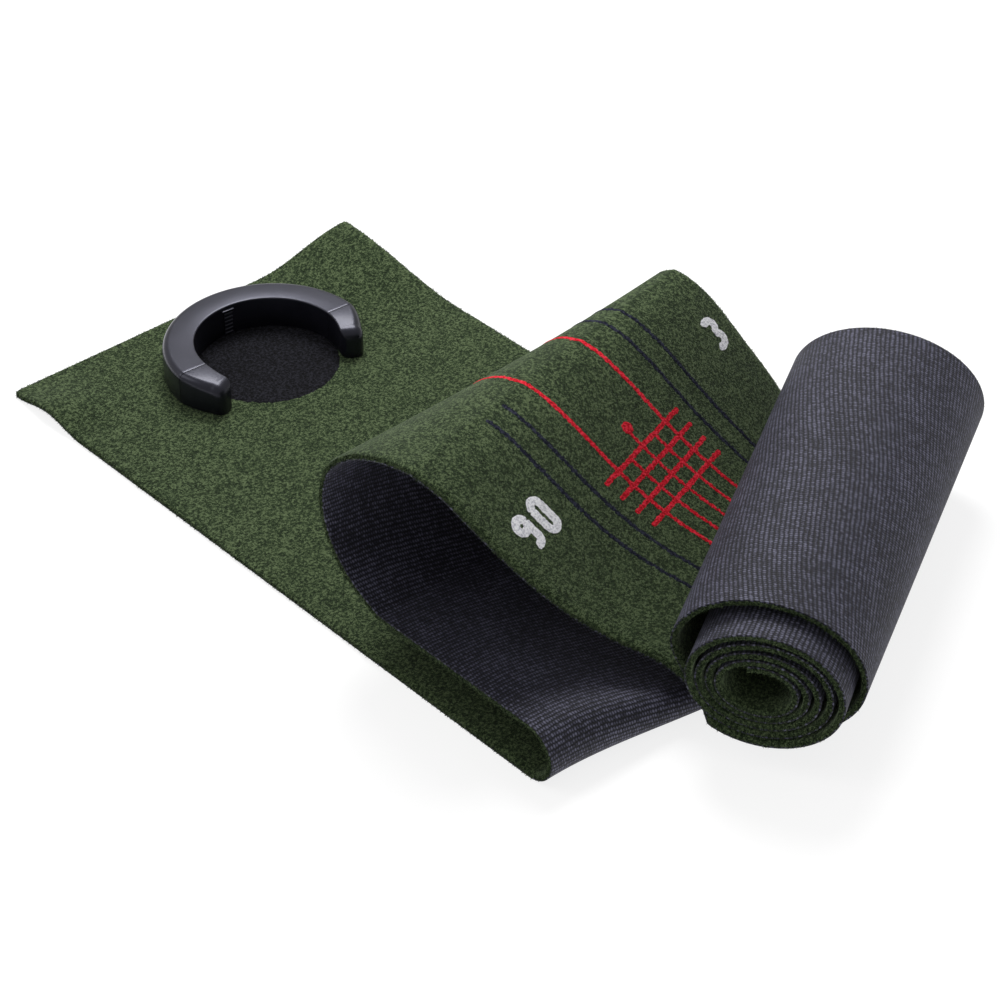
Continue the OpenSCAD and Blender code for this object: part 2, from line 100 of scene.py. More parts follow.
# Shape of the roll
ROLL_X, ROLL_Y, ROLL_Z = 189.0, NEAR_Y + 122.0, 12.0
ROLL_TURN = math.radians(29)
LOOSE_RX, LOOSE_RZ, LOOSE_FLARE = 60.0, 48.0, 10.0
COIL_RX, COIL_RZ, COIL_PROUD = 52.0, 43.0, 22.0
CORE_RX, CORE_RZ, CORE_LEFT, CORE_DROP = 17.0, 12.0, 3.0, 3.0
CLEAR = 0.35


# %% Small helpers
def mix(a, b, k):
    return a + (b - a) * k


def smooth(k):
    k = np.clip(k, 0, 1)
    return k * k * (3 - 2 * k)


def swell(k):
    """1 at 0, easing to 0 at 1 and beyond."""
    return np.where(np.asarray(k) >= 1, 0.0, 0.5 + 0.5 * np.cos(np.pi * np.asarray(k)))


def spline(points, steps):
    """A smooth line through the points, with that many rows to each stretch."""
    p = np.array(points, float)
    p = np.vstack([p[:1], p, p[-1:]])
    k = np.linspace(0, 1, steps, endpoint=False)[:, None]
    parts = []
    for a, b, c, d in zip(p[:-3], p[1:-2], p[2:-1], p[3:]):
        parts.append(
            0.5 * (2 * b + (c - a) * k + (2 * a - 5 * b + 4 * c - d) * k**2
                   + (3 * b - a - 3 * c + d) * k**3)
        )
    return np.vstack(parts + [p[-1:]])


def roll_point(e, s, z):
    """A place on the roll: e to its right, s along its axis from the near end, z up."""
    ca, sa = math.cos(ROLL_TURN), math.sin(ROLL_TURN)
    return np.stack(np.broadcast_arrays(ROLL_X + e * ca - s * sa, ROLL_Y + e * sa + s * ca, z), -1)


# %% [markdown]
# ## The rows of each stretch
# From the cut edge: the free end, the flat base, the fold, the back panel, the arch up to its
# crest, and the top panel that runs in under the roll. The arch and the top panel are drawn by a
# few given points on the near edge and on the far edge, with a smooth line through them.

# %% Build the rows
def stretch(near, far, press):
    near, far = np.array(near, float), np.array(far, float)
    return near, far, np.broadcast_to(np.asarray(press, float), (len(near),))


def line_rows(near_a, near_b, far_a, far_b, count, press):
    k = np.linspace(0, 1, count)[:, None]
    return stretch(mix(np.array(near_a), np.array(near_b), k),
                   mix(np.array(far_a), np.array(far_b), k), press)


FREE_ROWS, BASE_ROWS, FOLD_ROWS, BACK_ROWS = 121, 91, 49, 61
FOLD_FAR_X = FOLD_NEAR_X + FOLD_SKEW
fold_near_z, fold_far_z = 2 * FOLD_R_NEAR, 2 * FOLD_R_FAR
back_near, back_far = (-18, NEAR_Y, fold_near_z), (-45, FAR_Y, fold_far_z)
free_rows = line_rows((CUT_X, NEAR_Y, 0), (LIFT_X, NEAR_Y, 0), (CUT_X, FAR_Y, 0), (LIFT_X, FAR_Y, 0),
                      FREE_ROWS, 0)
base_rows = line_rows((LIFT_X, NEAR_Y, 0), (FOLD_NEAR_X, NEAR_Y, 0), (LIFT_X, FAR_Y, 0),
                      (FOLD_FAR_X, FAR_Y, 0), BASE_ROWS, np.linspace(0, 1, BASE_ROWS))
turn = np.linspace(0, np.pi, FOLD_ROWS)
fold_rows = stretch(
    np.stack([FOLD_NEAR_X + FOLD_R_NEAR * np.sin(turn), 0 * turn + NEAR_Y,
              FOLD_R_NEAR * (1 - np.cos(turn))], -1),
    np.stack([FOLD_FAR_X + FOLD_R_FAR * np.sin(turn), 0 * turn + FAR_Y,
              FOLD_R_FAR * (1 - np.cos(turn))], -1), 1)
back_way = np.linspace(0, 1, BACK_ROWS)
back_rows = line_rows((FOLD_NEAR_X, NEAR_Y, fold_near_z), back_near, (FOLD_FAR_X, FAR_Y, fold_far_z),
                      back_far, BACK_ROWS, 1 - smooth((back_way - PRESSED_BACK) / (1 - PRESSED_BACK)))
arch_near = [back_near, (-43, NEAR_Y, 54), (-60, NEAR_Y, 73), (-67, NEAR_Y, 97),
             (-61, NEAR_Y, 124), (-40, NEAR_Y, 145), (-13, NEAR_Y, 158), (12, NEAR_Y + 2, 162)]
arch_far = [back_far, (-66, FAR_Y, 23), (-81, FAR_Y, 44), (-88, FAR_Y, 69),
            (-87, FAR_Y, 95), (-84, FAR_Y, 113), (-78, FAR_Y + 1, 126), (-70, FAR_Y + 3, 131)]
top_near = [arch_near[-1], (32, NEAR_Y + 8, 153), (51, NEAR_Y + 20, 130), (70, NEAR_Y + 38, 100),
            (87, NEAR_Y + 59, 72), (106, NEAR_Y + 79, 52), (128, NEAR_Y + 97, 38),
            roll_point(-44, 5, ROLL_Z + 13), roll_point(-24, 0, ROLL_Z + 3.5),
            roll_point(-9, 0, ROLL_Z), roll_point(0, 0, ROLL_Z)]
top_far = [arch_far[-1], (-62, FAR_Y + 6, 128), (-53, FAR_Y + 14, 117), (-43, FAR_Y + 24, 98),
           (-33, FAR_Y + 35, 76), (-23, FAR_Y + 46, 54), (-13, FAR_Y + 54, 36),
           roll_point(-38, MAT_W, ROLL_Z + 9.5), roll_point(-24, MAT_W, ROLL_Z + 3),
           roll_point(-9, MAT_W, ROLL_Z), roll_point(0, MAT_W, ROLL_Z)]
ARCH_STEPS, TOP_STEPS = 10, 8
arch_rows = stretch(spline(arch_near, ARCH_STEPS), spline(arch_far, ARCH_STEPS), 0)
top_rows = stretch(spline(top_near, TOP_STEPS), spline(top_far, TOP_STEPS), 0)


def join_rows(*parts):
    """One list of rows out of several, each starting on the last row of the one before."""
    return [np.concatenate([p[i] if n == 0 else p[i][1:] for n, p in enumerate(parts)])
            for i in range(3)]


all_rows = join_rows(free_rows, base_rows, fold_rows, back_rows, arch_rows, top_rows)
LIFT_ROW = FREE_ROWS - 1
CREST_ROW = len(all_rows[0]) - len(top_rows[0])
print("rows in the sheet:", len(all_rows[0]), "crest at row", CREST_ROW)

# %% [markdown]
# ## From rows to points
# The free end isn't flat: the far corner curls up and the near edge has a small ripple. Both ease
# away towards the middle. The normal of the surface then carries the backing and the pile apart.

# %% Points of the sheet
CURL, CURL_ALONG, CURL_IN = 16.0, 130.0, 85.0
RIPPLE, RIPPLE_ALONG, RIPPLE_IN = 6.0, 76.0, 60.0


def free_lift(x, v):
    along = x - CUT_X
    curl = CURL * swell(along / CURL_ALONG) * swell((1 - v) * MAT_W / CURL_IN)
    wave = np.where(along < RIPPLE_ALONG, np.sin(np.pi * along / RIPPLE_ALONG) ** 2, 0)
    ripple = RIPPLE * wave * swell(v * MAT_W / RIPPLE_IN)
    return np.where(along > CURL_ALONG, 0, curl + ripple)


def backing_side(rows, shares):
    """The sheet's backing side: a grid of points, one row of it for each of the rows."""
    near, far, press = (r[:, None] for r in rows)
    v = shares[None, :] + 0 * press
    k = mix(v, smooth(v / PRESSED_FROM), press)
    share = np.stack([k, v, k], -1)
    points = near + (far - near) * share
    points[..., 2] += np.where(points[..., 0] < LIFT_X, free_lift(points[..., 0], v), 0) * (
        np.arange(len(near)) <= LIFT_ROW)[:, None]
    return points


def normals_of(points):
    n = np.cross(np.gradient(points, axis=0), np.gradient(points, axis=1))
    return n / np.linalg.norm(n, axis=-1, keepdims=True)


def across_shares(count, edge_mm=(0, 0.4, 1.2, 2.6)):
    """Shares of the width, closer together at the two edges."""
    inner = np.linspace(6 / MAT_W, 1 - 6 / MAT_W, count)
    edge = np.array(edge_mm) / MAT_W
    return np.concatenate([edge, inner, 1 - edge[::-1]])


SHARES = across_shares(44)
sheet_base = backing_side(all_rows, SHARES)
sheet_normal = normals_of(sheet_base)
step = np.linalg.norm(np.diff(sheet_base, axis=0), axis=-1)
length_at = np.vstack([np.zeros(len(SHARES)), np.cumsum(step, axis=0)])

# %% [markdown]
# ## The roll
# Seen along its axis, the loose outer turn starts under the roll, goes up on the right, over the
# top and down on the left. Inside it lies the tight coil, one sheet wound in to an open core.
# A real coil isn't square: each turn stands a little in or out, and the turns lie closer below and
# on the left than above and on the right. The first turn leaves the loose turn's edge in a short
# sweep, because both are the same sheet.

# %% Lines of the roll
LOOSE_END, CLOSING_FROM, START_ARC = 207.0, 165.0, 30.0
COIL_E, COIL_BEGIN = 3.0, LOOSE_END + 4
loose_z = ROLL_Z + LOOSE_RZ
coil_z = ROLL_Z + MAT_T + CLEAR + COIL_RZ


def oval(e, z, rx, rz, angle):
    a = np.radians(angle)
    return np.stack([e + rx * np.cos(a), z + rz * np.sin(a)], -1)


def loose_line(angle, height, share):
    """Places (e, z) of the loose turn at a height above its backing side."""
    flare = share * LOOSE_FLARE
    free = oval(flare / 2, loose_z, LOOSE_RX + flare / 2 - height, LOOSE_RZ - height, angle)
    held = oval(COIL_E, coil_z, COIL_RX + CLEAR + MAT_T - height, COIL_RZ + CLEAR + MAT_T - height, angle)
    start = np.stack(np.broadcast_arrays(0.0 * angle, ROLL_Z + height), -1)
    leaving = smooth((angle + 90) / START_ARC)[..., None]
    closing = smooth((angle - CLOSING_FROM) / (LOOSE_END - CLOSING_FROM))[..., None]
    return mix(mix(start, free, leaving), held, closing)


def loose_grid(shares, height, steps=150):
    angle, share = np.meshgrid(np.linspace(-90, LOOSE_END, steps + 1), shares, indexing="ij")
    place = loose_line(angle, height, share)
    return roll_point(place[..., 0], share * MAT_W, place[..., 1])


TURN_GAP = 0.35
coil_turns = (COIL_RZ - CORE_RZ - CORE_DROP - MAT_T) / (MAT_T + TURN_GAP)
COIL_STEPS = 560
# At these counts of turns from the outside: half width and half height of the backing side, how
# far the middle has moved left and down, and how far the near edge stands back from the front
AT_TURNS = [0, 0.06, 1, 1.5, 2, 3, 3.9, coil_turns]
HALF_WIDTH = [COIL_RX, 51.7, 45.8, 42.5, 39.0, 32.6, 27.0, CORE_RX + MAT_T]
HALF_HEIGHT = [COIL_RZ, 42.7, 38.0, 34.2, 30.4, 25.4, 20.9, CORE_RZ + MAT_T]
GONE_LEFT = [0, 0.1, 1.2, 1.8, 2.2, 2.6, 2.8, CORE_LEFT]
GONE_DOWN = [0, 0, 0, 1.4, 2.9, 3.0, 3.0, CORE_DROP]
RECESS = [COIL_PROUD, 0, 1.5, 4.0, 3.2, 4.4, 3.0, 4.0]


def coil_grid(shares, height, steps=COIL_STEPS):
    turns = coil_turns * np.linspace(0, 1, steps + 1)[:, None] + 0 * shares[None, :]
    half_width, half_height, left, down, recess = (
        np.interp(turns, AT_TURNS, values)
        for values in (HALF_WIDTH, HALF_HEIGHT, GONE_LEFT, GONE_DOWN, RECESS))
    angle = np.radians(COIL_BEGIN + 360 * turns)
    e = COIL_E - left + (half_width - height) * np.cos(angle)
    z = coil_z - down + (half_height - height) * np.sin(angle)
    return roll_point(e, shares[None, :] * MAT_W - COIL_PROUD + recess, z)


print("turns in the tight coil:", round(coil_turns, 2))

# %% [markdown]
# ## Closing a layer
# Each layer is a thin closed shell between two grids of points. Every point also remembers its
# place in the flat, unrolled sheet: how far across, how far along, and how high. The materials
# read that instead of the place in space, so a weave follows the cloth round every bend.

# %% Mesh of one layer
SHARP_OVER = 48          # degrees; flatter edges are shaded smooth


def closed_layer(name, low, high, across, along, heights):
    """low and high are grids in mm; across and along give the flat place of each grid point."""
    rows, cols = low.shape[:2]
    index = np.arange(2 * rows * cols).reshape(2, rows, cols)
    under, top = index

    def quads(a, b, c, d):
        return np.stack([x.ravel() for x in (a, b, c, d)], -1)

    faces = np.concatenate([
        quads(top[:-1, :-1], top[1:, :-1], top[1:, 1:], top[:-1, 1:]),
        quads(under[:-1, :-1], under[:-1, 1:], under[1:, 1:], under[1:, :-1]),
        quads(under[:-1, 0], under[1:, 0], top[1:, 0], top[:-1, 0]),
        quads(under[:-1, -1], top[:-1, -1], top[1:, -1], under[1:, -1]),
        quads(under[0, :-1], top[0, :-1], top[0, 1:], under[0, 1:]),
        quads(under[-1, :-1], under[-1, 1:], top[-1, 1:], top[-1, :-1]),
    ])
    points = np.concatenate([low.reshape(-1, 3), high.reshape(-1, 3)]) * MM
    flat = np.stack([np.broadcast_to(across, low.shape[:2]), np.broadcast_to(along, low.shape[:2])], -1)
    cloth = np.concatenate([np.dstack([flat, np.full((rows, cols), h)]).reshape(-1, 3)
                            for h in heights]) * MM
    return mesh_piece(name, points, faces, cloth)


def mesh_piece(name, points, faces, cloth=None):
    mesh = bpy.data.meshes.new(name)
    mesh.from_pydata(points.tolist(), [], [list(map(int, f)) for f in faces])
    mesh.shade_smooth()
    mesh.set_sharp_from_angle(angle=math.radians(SHARP_OVER))
    if cloth is not None:
        place = mesh.attributes.new("cloth", "FLOAT_VECTOR", "POINT")
        place.data.foreach_set("vector", cloth.astype(np.float32).ravel())
        corner = np.zeros(len(mesh.loops), np.int32)
        mesh.loops.foreach_get("vertex_index", corner)
        uv = mesh.uv_layers.new(name="cloth_uv")
        uv.data.foreach_set("uv", cloth[corner, :2].astype(np.float32).ravel())
    obj = bpy.data.objects.new(name, mesh)
    bpy.context.scene.collection.objects.link(obj)
    return obj


# %% [markdown]
# ## Colours and finishes
# Pile is thousands of short fibres. At this distance they read as a mottle one to two millimetres
# across, lighter where the eye grazes the tips, which is what sheen does. The mottle's colour adds
# painted shade in the gaps between tufts and a painted highlight on the tips. The knitted backing is
# a fine lattice of pits between threads, with painted shade in the pits and a painted highlight on
# each stitch. Both patterns read the flat place of the cloth. The cup is moulded plastic, almost
# black, so its shape shows mainly by a soft and slightly blue shine.
# Its arm tips are a shade duller than the ring, because they slope towards the light.

# %% Node helpers
def new_material(name):
    material = bpy.data.materials.new(name)
    material.use_nodes = True
    tree = material.node_tree
    return material, tree, tree.nodes["Principled BSDF"]


def add(tree, kind, inputs=None, **settings):
    node = tree.nodes.new(kind)
    for key, value in settings.items():
        setattr(node, key, value)
    for key, value in (inputs or {}).items():
        if isinstance(value, bpy.types.NodeSocket):
            tree.links.new(value, node.inputs[key])
        else:
            node.inputs[key].default_value = value
    return node


def math_node(tree, operation, a, b=None, c=None):
    node = add(tree, "ShaderNodeMath", operation=operation)
    for socket, value in zip(node.inputs, (a, b, c)):
        if isinstance(value, bpy.types.NodeSocket):
            tree.links.new(value, socket)
        elif value is not None:
            socket.default_value = value
    return node.outputs[0]


def ramp(tree, factor, stops):
    node = add(tree, "ShaderNodeValToRGB", {"Fac": factor})
    elements = node.color_ramp.elements
    while len(elements) < len(stops):
        elements.new(0.5)
    for element, (at, colour) in zip(elements, stops):
        element.position = at
        element.color = colour
    return node.outputs["Color"]


def grey(value):
    return (value, value, value, 1)


# %% Pile material
def pile_material(name, dark, mid, light, sheen=0.16, sheen_tint=(0.8, 0.95, 0.7, 1), patchy=0.12):
    """Dyed pile in three tones of one colour: painted shade for the gaps, the fibres, and a painted highlight
    for the fibre tips.
    """
    material, tree, shader = new_material(name)
    place = add(tree, "ShaderNodeAttribute", attribute_name="cloth").outputs["Vector"]
    tufts = add(tree, "ShaderNodeTexNoise", {"Vector": place, "Scale": 560, "Detail": 3, "Roughness": 0.7})
    fine = add(tree, "ShaderNodeTexNoise", {"Vector": place, "Scale": 1300, "Detail": 1})
    broad = add(tree, "ShaderNodeTexNoise", {"Vector": place, "Scale": 55, "Detail": 3})
    grain = math_node(tree, "MULTIPLY_ADD", fine.outputs["Fac"], 0.3,
                      math_node(tree, "MULTIPLY", tufts.outputs["Fac"], 0.7))
    grain = math_node(tree, "ADD", grain, math_node(
        tree, "MULTIPLY", math_node(tree, "SUBTRACT", broad.outputs["Fac"], 0.5), patchy * 0.5))
    # the mottle is random tone that also sets the bump's height, so the dark tone is painted shade low in the
    # gaps and the light tone a painted highlight on the high fibre tips
    colour = ramp(tree, grain, [(0.41, dark), (0.49, mid), (0.585, light)])
    tree.links.new(colour, shader.inputs["Base Color"])
    shader.inputs["Roughness"].default_value = 0.95
    shader.inputs["Specular IOR Level"].default_value = 0.12
    shader.inputs["Sheen Weight"].default_value = sheen
    shader.inputs["Sheen Roughness"].default_value = 0.4
    shader.inputs["Sheen Tint"].default_value = sheen_tint
    bump = add(tree, "ShaderNodeBump", {"Height": grain, "Strength": 1.0, "Distance": 0.0014})
    tree.links.new(bump.outputs["Normal"], shader.inputs["Normal"])
    return material


# for each pile: painted shade for the gaps, the fibres' own colour, and a painted highlight for the tips
green_pile = pile_material("green_pile", (0.0065, 0.0125, 0.0045, 1), (0.0205, 0.0355, 0.0135, 1),
                           (0.100, 0.136, 0.064, 1))
black_pile = pile_material("black_pile", grey(0.0012), (0.0042, 0.0042, 0.006, 1), (0.018, 0.018, 0.024, 1),
                           sheen=0.03, sheen_tint=(0.8, 0.8, 0.9, 1))
red_pile = pile_material("red_pile", (0.30, 0.003, 0.008, 1), (0.60, 0.008, 0.022, 1),
                         (0.80, 0.04, 0.07, 1), sheen=0.05, sheen_tint=(1, 0.5, 0.5, 1))
navy_pile = pile_material("navy_pile", (0.003, 0.004, 0.008, 1), (0.010, 0.011, 0.024, 1),
                          (0.035, 0.038, 0.06, 1), sheen=0.03, sheen_tint=(0.7, 0.75, 1, 1))
white_pile = pile_material("white_pile", (0.55, 0.55, 0.60, 1), (0.82, 0.82, 0.86, 1),
                           (0.93, 0.93, 0.95, 1), sheen=0.05, sheen_tint=(1, 1, 1, 1), patchy=0.1)
print("pile colours:", [m.name for m in bpy.data.materials if m.name.endswith("pile")])


# %% Backing material
STITCH_ACROSS, STITCH_ALONG = 0.0019, 0.0030


def backing_material(name, pit_shade, thread, shine):
    """A knit seen from behind: columns of small stitches, with painted shade in the pits between them and a
    painted highlight on their crowns.
    """
    material, tree, shader = new_material(name)
    place = add(tree, "ShaderNodeAttribute", attribute_name="cloth").outputs["Vector"]
    wobble = add(tree, "ShaderNodeTexNoise", {"Vector": place, "Scale": 160, "Detail": 2})
    offset = add(tree, "ShaderNodeVectorMath", {0: wobble.outputs["Color"]}, operation="SUBTRACT")
    offset.inputs[1].default_value = (0.5, 0.5, 0.5)
    moved = add(tree, "ShaderNodeVectorMath", {0: offset.outputs[0]}, operation="MULTIPLY_ADD")
    moved.inputs[1].default_value = (0.0012, 0.0016, 0)
    tree.links.new(place, moved.inputs[2])
    parts = add(tree, "ShaderNodeSeparateXYZ", {"Vector": moved.outputs[0]})
    # each row of stitches is shifted against the one before, and each stitch has its own tone
    course = math_node(tree, "DIVIDE", parts.outputs["Y"], STITCH_ALONG)
    column = math_node(tree, "FLOOR", course)
    wale = math_node(tree, "ADD", math_node(tree, "DIVIDE", parts.outputs["X"], STITCH_ACROSS),
                     math_node(tree, "MULTIPLY", column, 0.41))
    stitch_id = add(tree, "ShaderNodeCombineXYZ", {"X": column, "Y": math_node(tree, "FLOOR", wale)})
    own_tone = add(tree, "ShaderNodeTexWhiteNoise", {"Vector": stitch_id.outputs[0]}, noise_dimensions="3D")
    # a rounded bump per stitch: high in its middle, low towards its four sides
    within_a = math_node(tree, "SUBTRACT", math_node(tree, "FRACT", wale), 0.5)
    within_b = math_node(tree, "SUBTRACT", math_node(tree, "FRACT", course), 0.5)
    reach = math_node(tree, "ADD", math_node(tree, "MULTIPLY", within_a, within_a),
                      math_node(tree, "MULTIPLY", math_node(tree, "MULTIPLY", within_b, within_b), 1.3))
    stitch = math_node(tree, "SUBTRACT", 1.0, math_node(tree, "MULTIPLY", reach, 2.6))
    speck = add(tree, "ShaderNodeTexNoise", {"Vector": place, "Scale": 900, "Detail": 2})
    height = math_node(tree, "MULTIPLY_ADD", speck.outputs["Fac"], 0.5,
                       math_node(tree, "MULTIPLY", stitch, 0.42))
    broad = add(tree, "ShaderNodeTexNoise", {"Vector": place, "Scale": 30, "Detail": 2})
    tone = math_node(tree, "MULTIPLY_ADD", own_tone.outputs["Value"], 0.16, height)
    tone = math_node(tree, "ADD", tone, math_node(
        tree, "MULTIPLY", math_node(tree, "SUBTRACT", broad.outputs["Fac"], 0.5), 0.2))
    # the colour follows each stitch's height: the pit tone is painted shade between the stitches and the
    # shine tone a painted highlight on their crowns; the rest is each stitch's own random tone
    colour = ramp(tree, tone, [(0.42, pit_shade), (0.61, thread), (0.80, shine)])
    tree.links.new(colour, shader.inputs["Base Color"])
    shader.inputs["Roughness"].default_value = 0.7
    shader.inputs["Specular IOR Level"].default_value = 0.3
    shader.inputs["Sheen Weight"].default_value = 0.06
    shader.inputs["Sheen Tint"].default_value = (0.85, 0.85, 1, 1)
    bump = add(tree, "ShaderNodeBump", {"Height": height, "Strength": 0.8, "Distance": 0.0008})
    tree.links.new(bump.outputs["Normal"], shader.inputs["Normal"])
    return material


# pits in painted shade, the threads' own grey, and stitch crowns in a painted highlight
grey_backing = backing_material("grey_backing", (0.0026, 0.0026, 0.0046, 1), (0.020, 0.020, 0.036, 1),
                                (0.118, 0.118, 0.172, 1))


# %% Cup material
def cup_material(name, roughness, shine):
    """Black moulded plastic with the faintest mould texture."""
    material, tree, shader = new_material(name)
    place = add(tree, "ShaderNodeTexCoord").outputs["Object"]
    cloud = add(tree, "ShaderNodeTexNoise", {"Vector": place, "Scale": 60, "Detail": 4})
    grain = add(tree, "ShaderNodeTexNoise", {"Vector": place, "Scale": 2600, "Detail": 1})
    colour = ramp(tree, cloud.outputs["Fac"],
                  [(0.3, (0.0030, 0.0030, 0.0050, 1)), (0.7, (0.0055, 0.0055, 0.0085, 1))])
    tree.links.new(colour, shader.inputs["Base Color"])
    rough = math_node(tree, "MULTIPLY_ADD", cloud.outputs["Fac"], 0.10, roughness)
    tree.links.new(rough, shader.inputs["Roughness"])
    shader.inputs["Specular IOR Level"].default_value = shine
    shader.inputs["Specular Tint"].default_value = (0.78, 0.79, 1, 1)
    shader.inputs["Coat Weight"].default_value = shine / 3
    shader.inputs["Coat Roughness"].default_value = 0.14
    shader.inputs["Coat Tint"].default_value = (0.9, 0.9, 1, 1)
    bump = add(tree, "ShaderNodeBump", {"Height": grain.outputs["Fac"], "Strength": 0.05, "Distance": 0.0001})
    tree.links.new(bump.outputs["Normal"], shader.inputs["Normal"])
    return material


black_plastic = cup_material("black_plastic", 0.27, 0.6)
dull_plastic = cup_material("dull_plastic", 0.30, 0.45)

# %% [markdown]
# ## The sheet's layers
# Three pieces of sheet, each with its own pile and backing: the free end, which lifts; the folded
# mat with the loose turn; and the tight coil. The pile's edges are rounded off a little, as cut
# pile is, and wander in and out by a few tenths of a millimetre.

# %% Edge wander and rounding
rng = np.random.default_rng(7)


def wander(count, size, knots):
    """A smooth random line of that many values."""
    return np.interp(np.linspace(0, knots - 1, count), np.arange(knots), rng.normal(0, size, knots))


def edge_fall(shares, reach=2.2, drop=0.9):
    """How much lower the pile is near the two long edges."""
    inside = np.minimum(shares, 1 - shares) * MAT_W
    return drop * (1 - smooth(inside / reach))


def roughen(points, normals_across):
    """Moves the two long edges in and out across the sheet."""
    for column, side in ((0, -1), (-1, 1)):
        shift = wander(len(points), 0.22, len(points) // 2) + wander(len(points), 0.25, len(points) // 9)
        points[:, column] += side * shift[:, None] * normals_across[:, column]
        inner = column + (1 if column == 0 else -1)
        points[:, inner] += side * 0.6 * shift[:, None] * normals_across[:, inner]
    return points


def across_direction(points):
    d = np.gradient(points, axis=1)
    return d / np.linalg.norm(d, axis=-1, keepdims=True)


# %% Build the layers
BEND_START_X, BEND_END_X = -136.0, -90.0
split_row = int(np.argmin(np.abs(all_rows[0][:LIFT_ROW + 40, 0] - BEND_END_X)))
fall = edge_fall(SHARES)[None, :, None]
ACROSS = (SHARES - 0.5) * MAT_W


def layer_grids(first, last, with_roll):
    """Grids at the backing side, at the bond and at the pile's tips, with their flat places."""
    base, normal = sheet_base[first:last], sheet_normal[first:last]
    grids = [base, base + BACKING_T * normal, base + (MAT_T - fall) * normal]
    along = length_at[first:last]
    if with_roll:
        roll_heights = [0.0, BACKING_T, MAT_T]
        for n, h in enumerate(roll_heights):
            wound = loose_grid(SHARES, h)
            if n == 2:
                wound = wound - fall * normals_of(loose_grid(SHARES, 0.0))
            grids[n] = np.concatenate([grids[n], wound[1:]])
        steps = np.linalg.norm(np.diff(loose_grid(SHARES, 0.0), axis=0), axis=-1)
        along = np.concatenate([along, along[-1] + np.cumsum(steps, axis=0)])
    return grids, along


def sheet_layers(names, first, last, with_roll=False):
    (backing, bond, tips), along = layer_grids(first, last, with_roll)
    tips = roughen(tips.copy(), across_direction(tips))
    back_piece = closed_layer(names[0], backing, bond, ACROSS[None, :], along, (0, BACKING_T))
    pile_piece = closed_layer(names[1], bond, tips, ACROSS[None, :], along, (BACKING_T, MAT_T))
    back_piece.data.materials.append(grey_backing)
    pile_piece.data.materials.append(green_pile)
    return back_piece, pile_piece, (mix(backing, bond, 0.4), tips, along)


free_backing, free_pile, free_grids = sheet_layers(("free_end_knit", "free_end_tufts"), 0, split_row + 1)
mat_backing, mat_pile, mat_grids = sheet_layers(("folded_mat_knit", "folded_mat_tufts"), split_row,
                                                len(all_rows[0]), with_roll=True)

coil_shares = across_shares(26)
coil_levels = [coil_grid(coil_shares, h) for h in (0.0, BACKING_T, MAT_T)]
coil_out = normals_of(coil_levels[0])
coil_levels[2] = coil_levels[2] - edge_fall(coil_shares, drop=0.6)[None, :, None] * coil_out
coil_levels[2] = roughen(coil_levels[2], across_direction(coil_levels[2]))
coil_along = mat_grids[2][-1].mean() + np.vstack([
    np.zeros(len(coil_shares)),
    np.cumsum(np.linalg.norm(np.diff(coil_levels[0], axis=0), axis=-1), axis=0)])
coil_across = (coil_shares - 0.5) * MAT_W
coil_backing = closed_layer("coil_knit", coil_levels[0], coil_levels[1], coil_across[None, :], coil_along,
                            (0, BACKING_T))
coil_pile = closed_layer("coil_tufts", coil_levels[1], coil_levels[2], coil_across[None, :], coil_along,
                         (BACKING_T, MAT_T))
coil_backing.data.materials.append(grey_backing)
coil_pile.data.materials.append(green_pile)
for piece in (free_pile, mat_pile, coil_pile):
    print(piece.name, "faces:", len(piece.data.polygons))

# %% [markdown]
# ## Tufts along the cut edges
# Where pile is cut, single tufts stick out and break the clean outline. Geometry Nodes scatter
# small pointed tufts over a narrow strip along each cut edge. The tree has named inputs for the
# density, length and thickness of the tufts and a fixed seed.

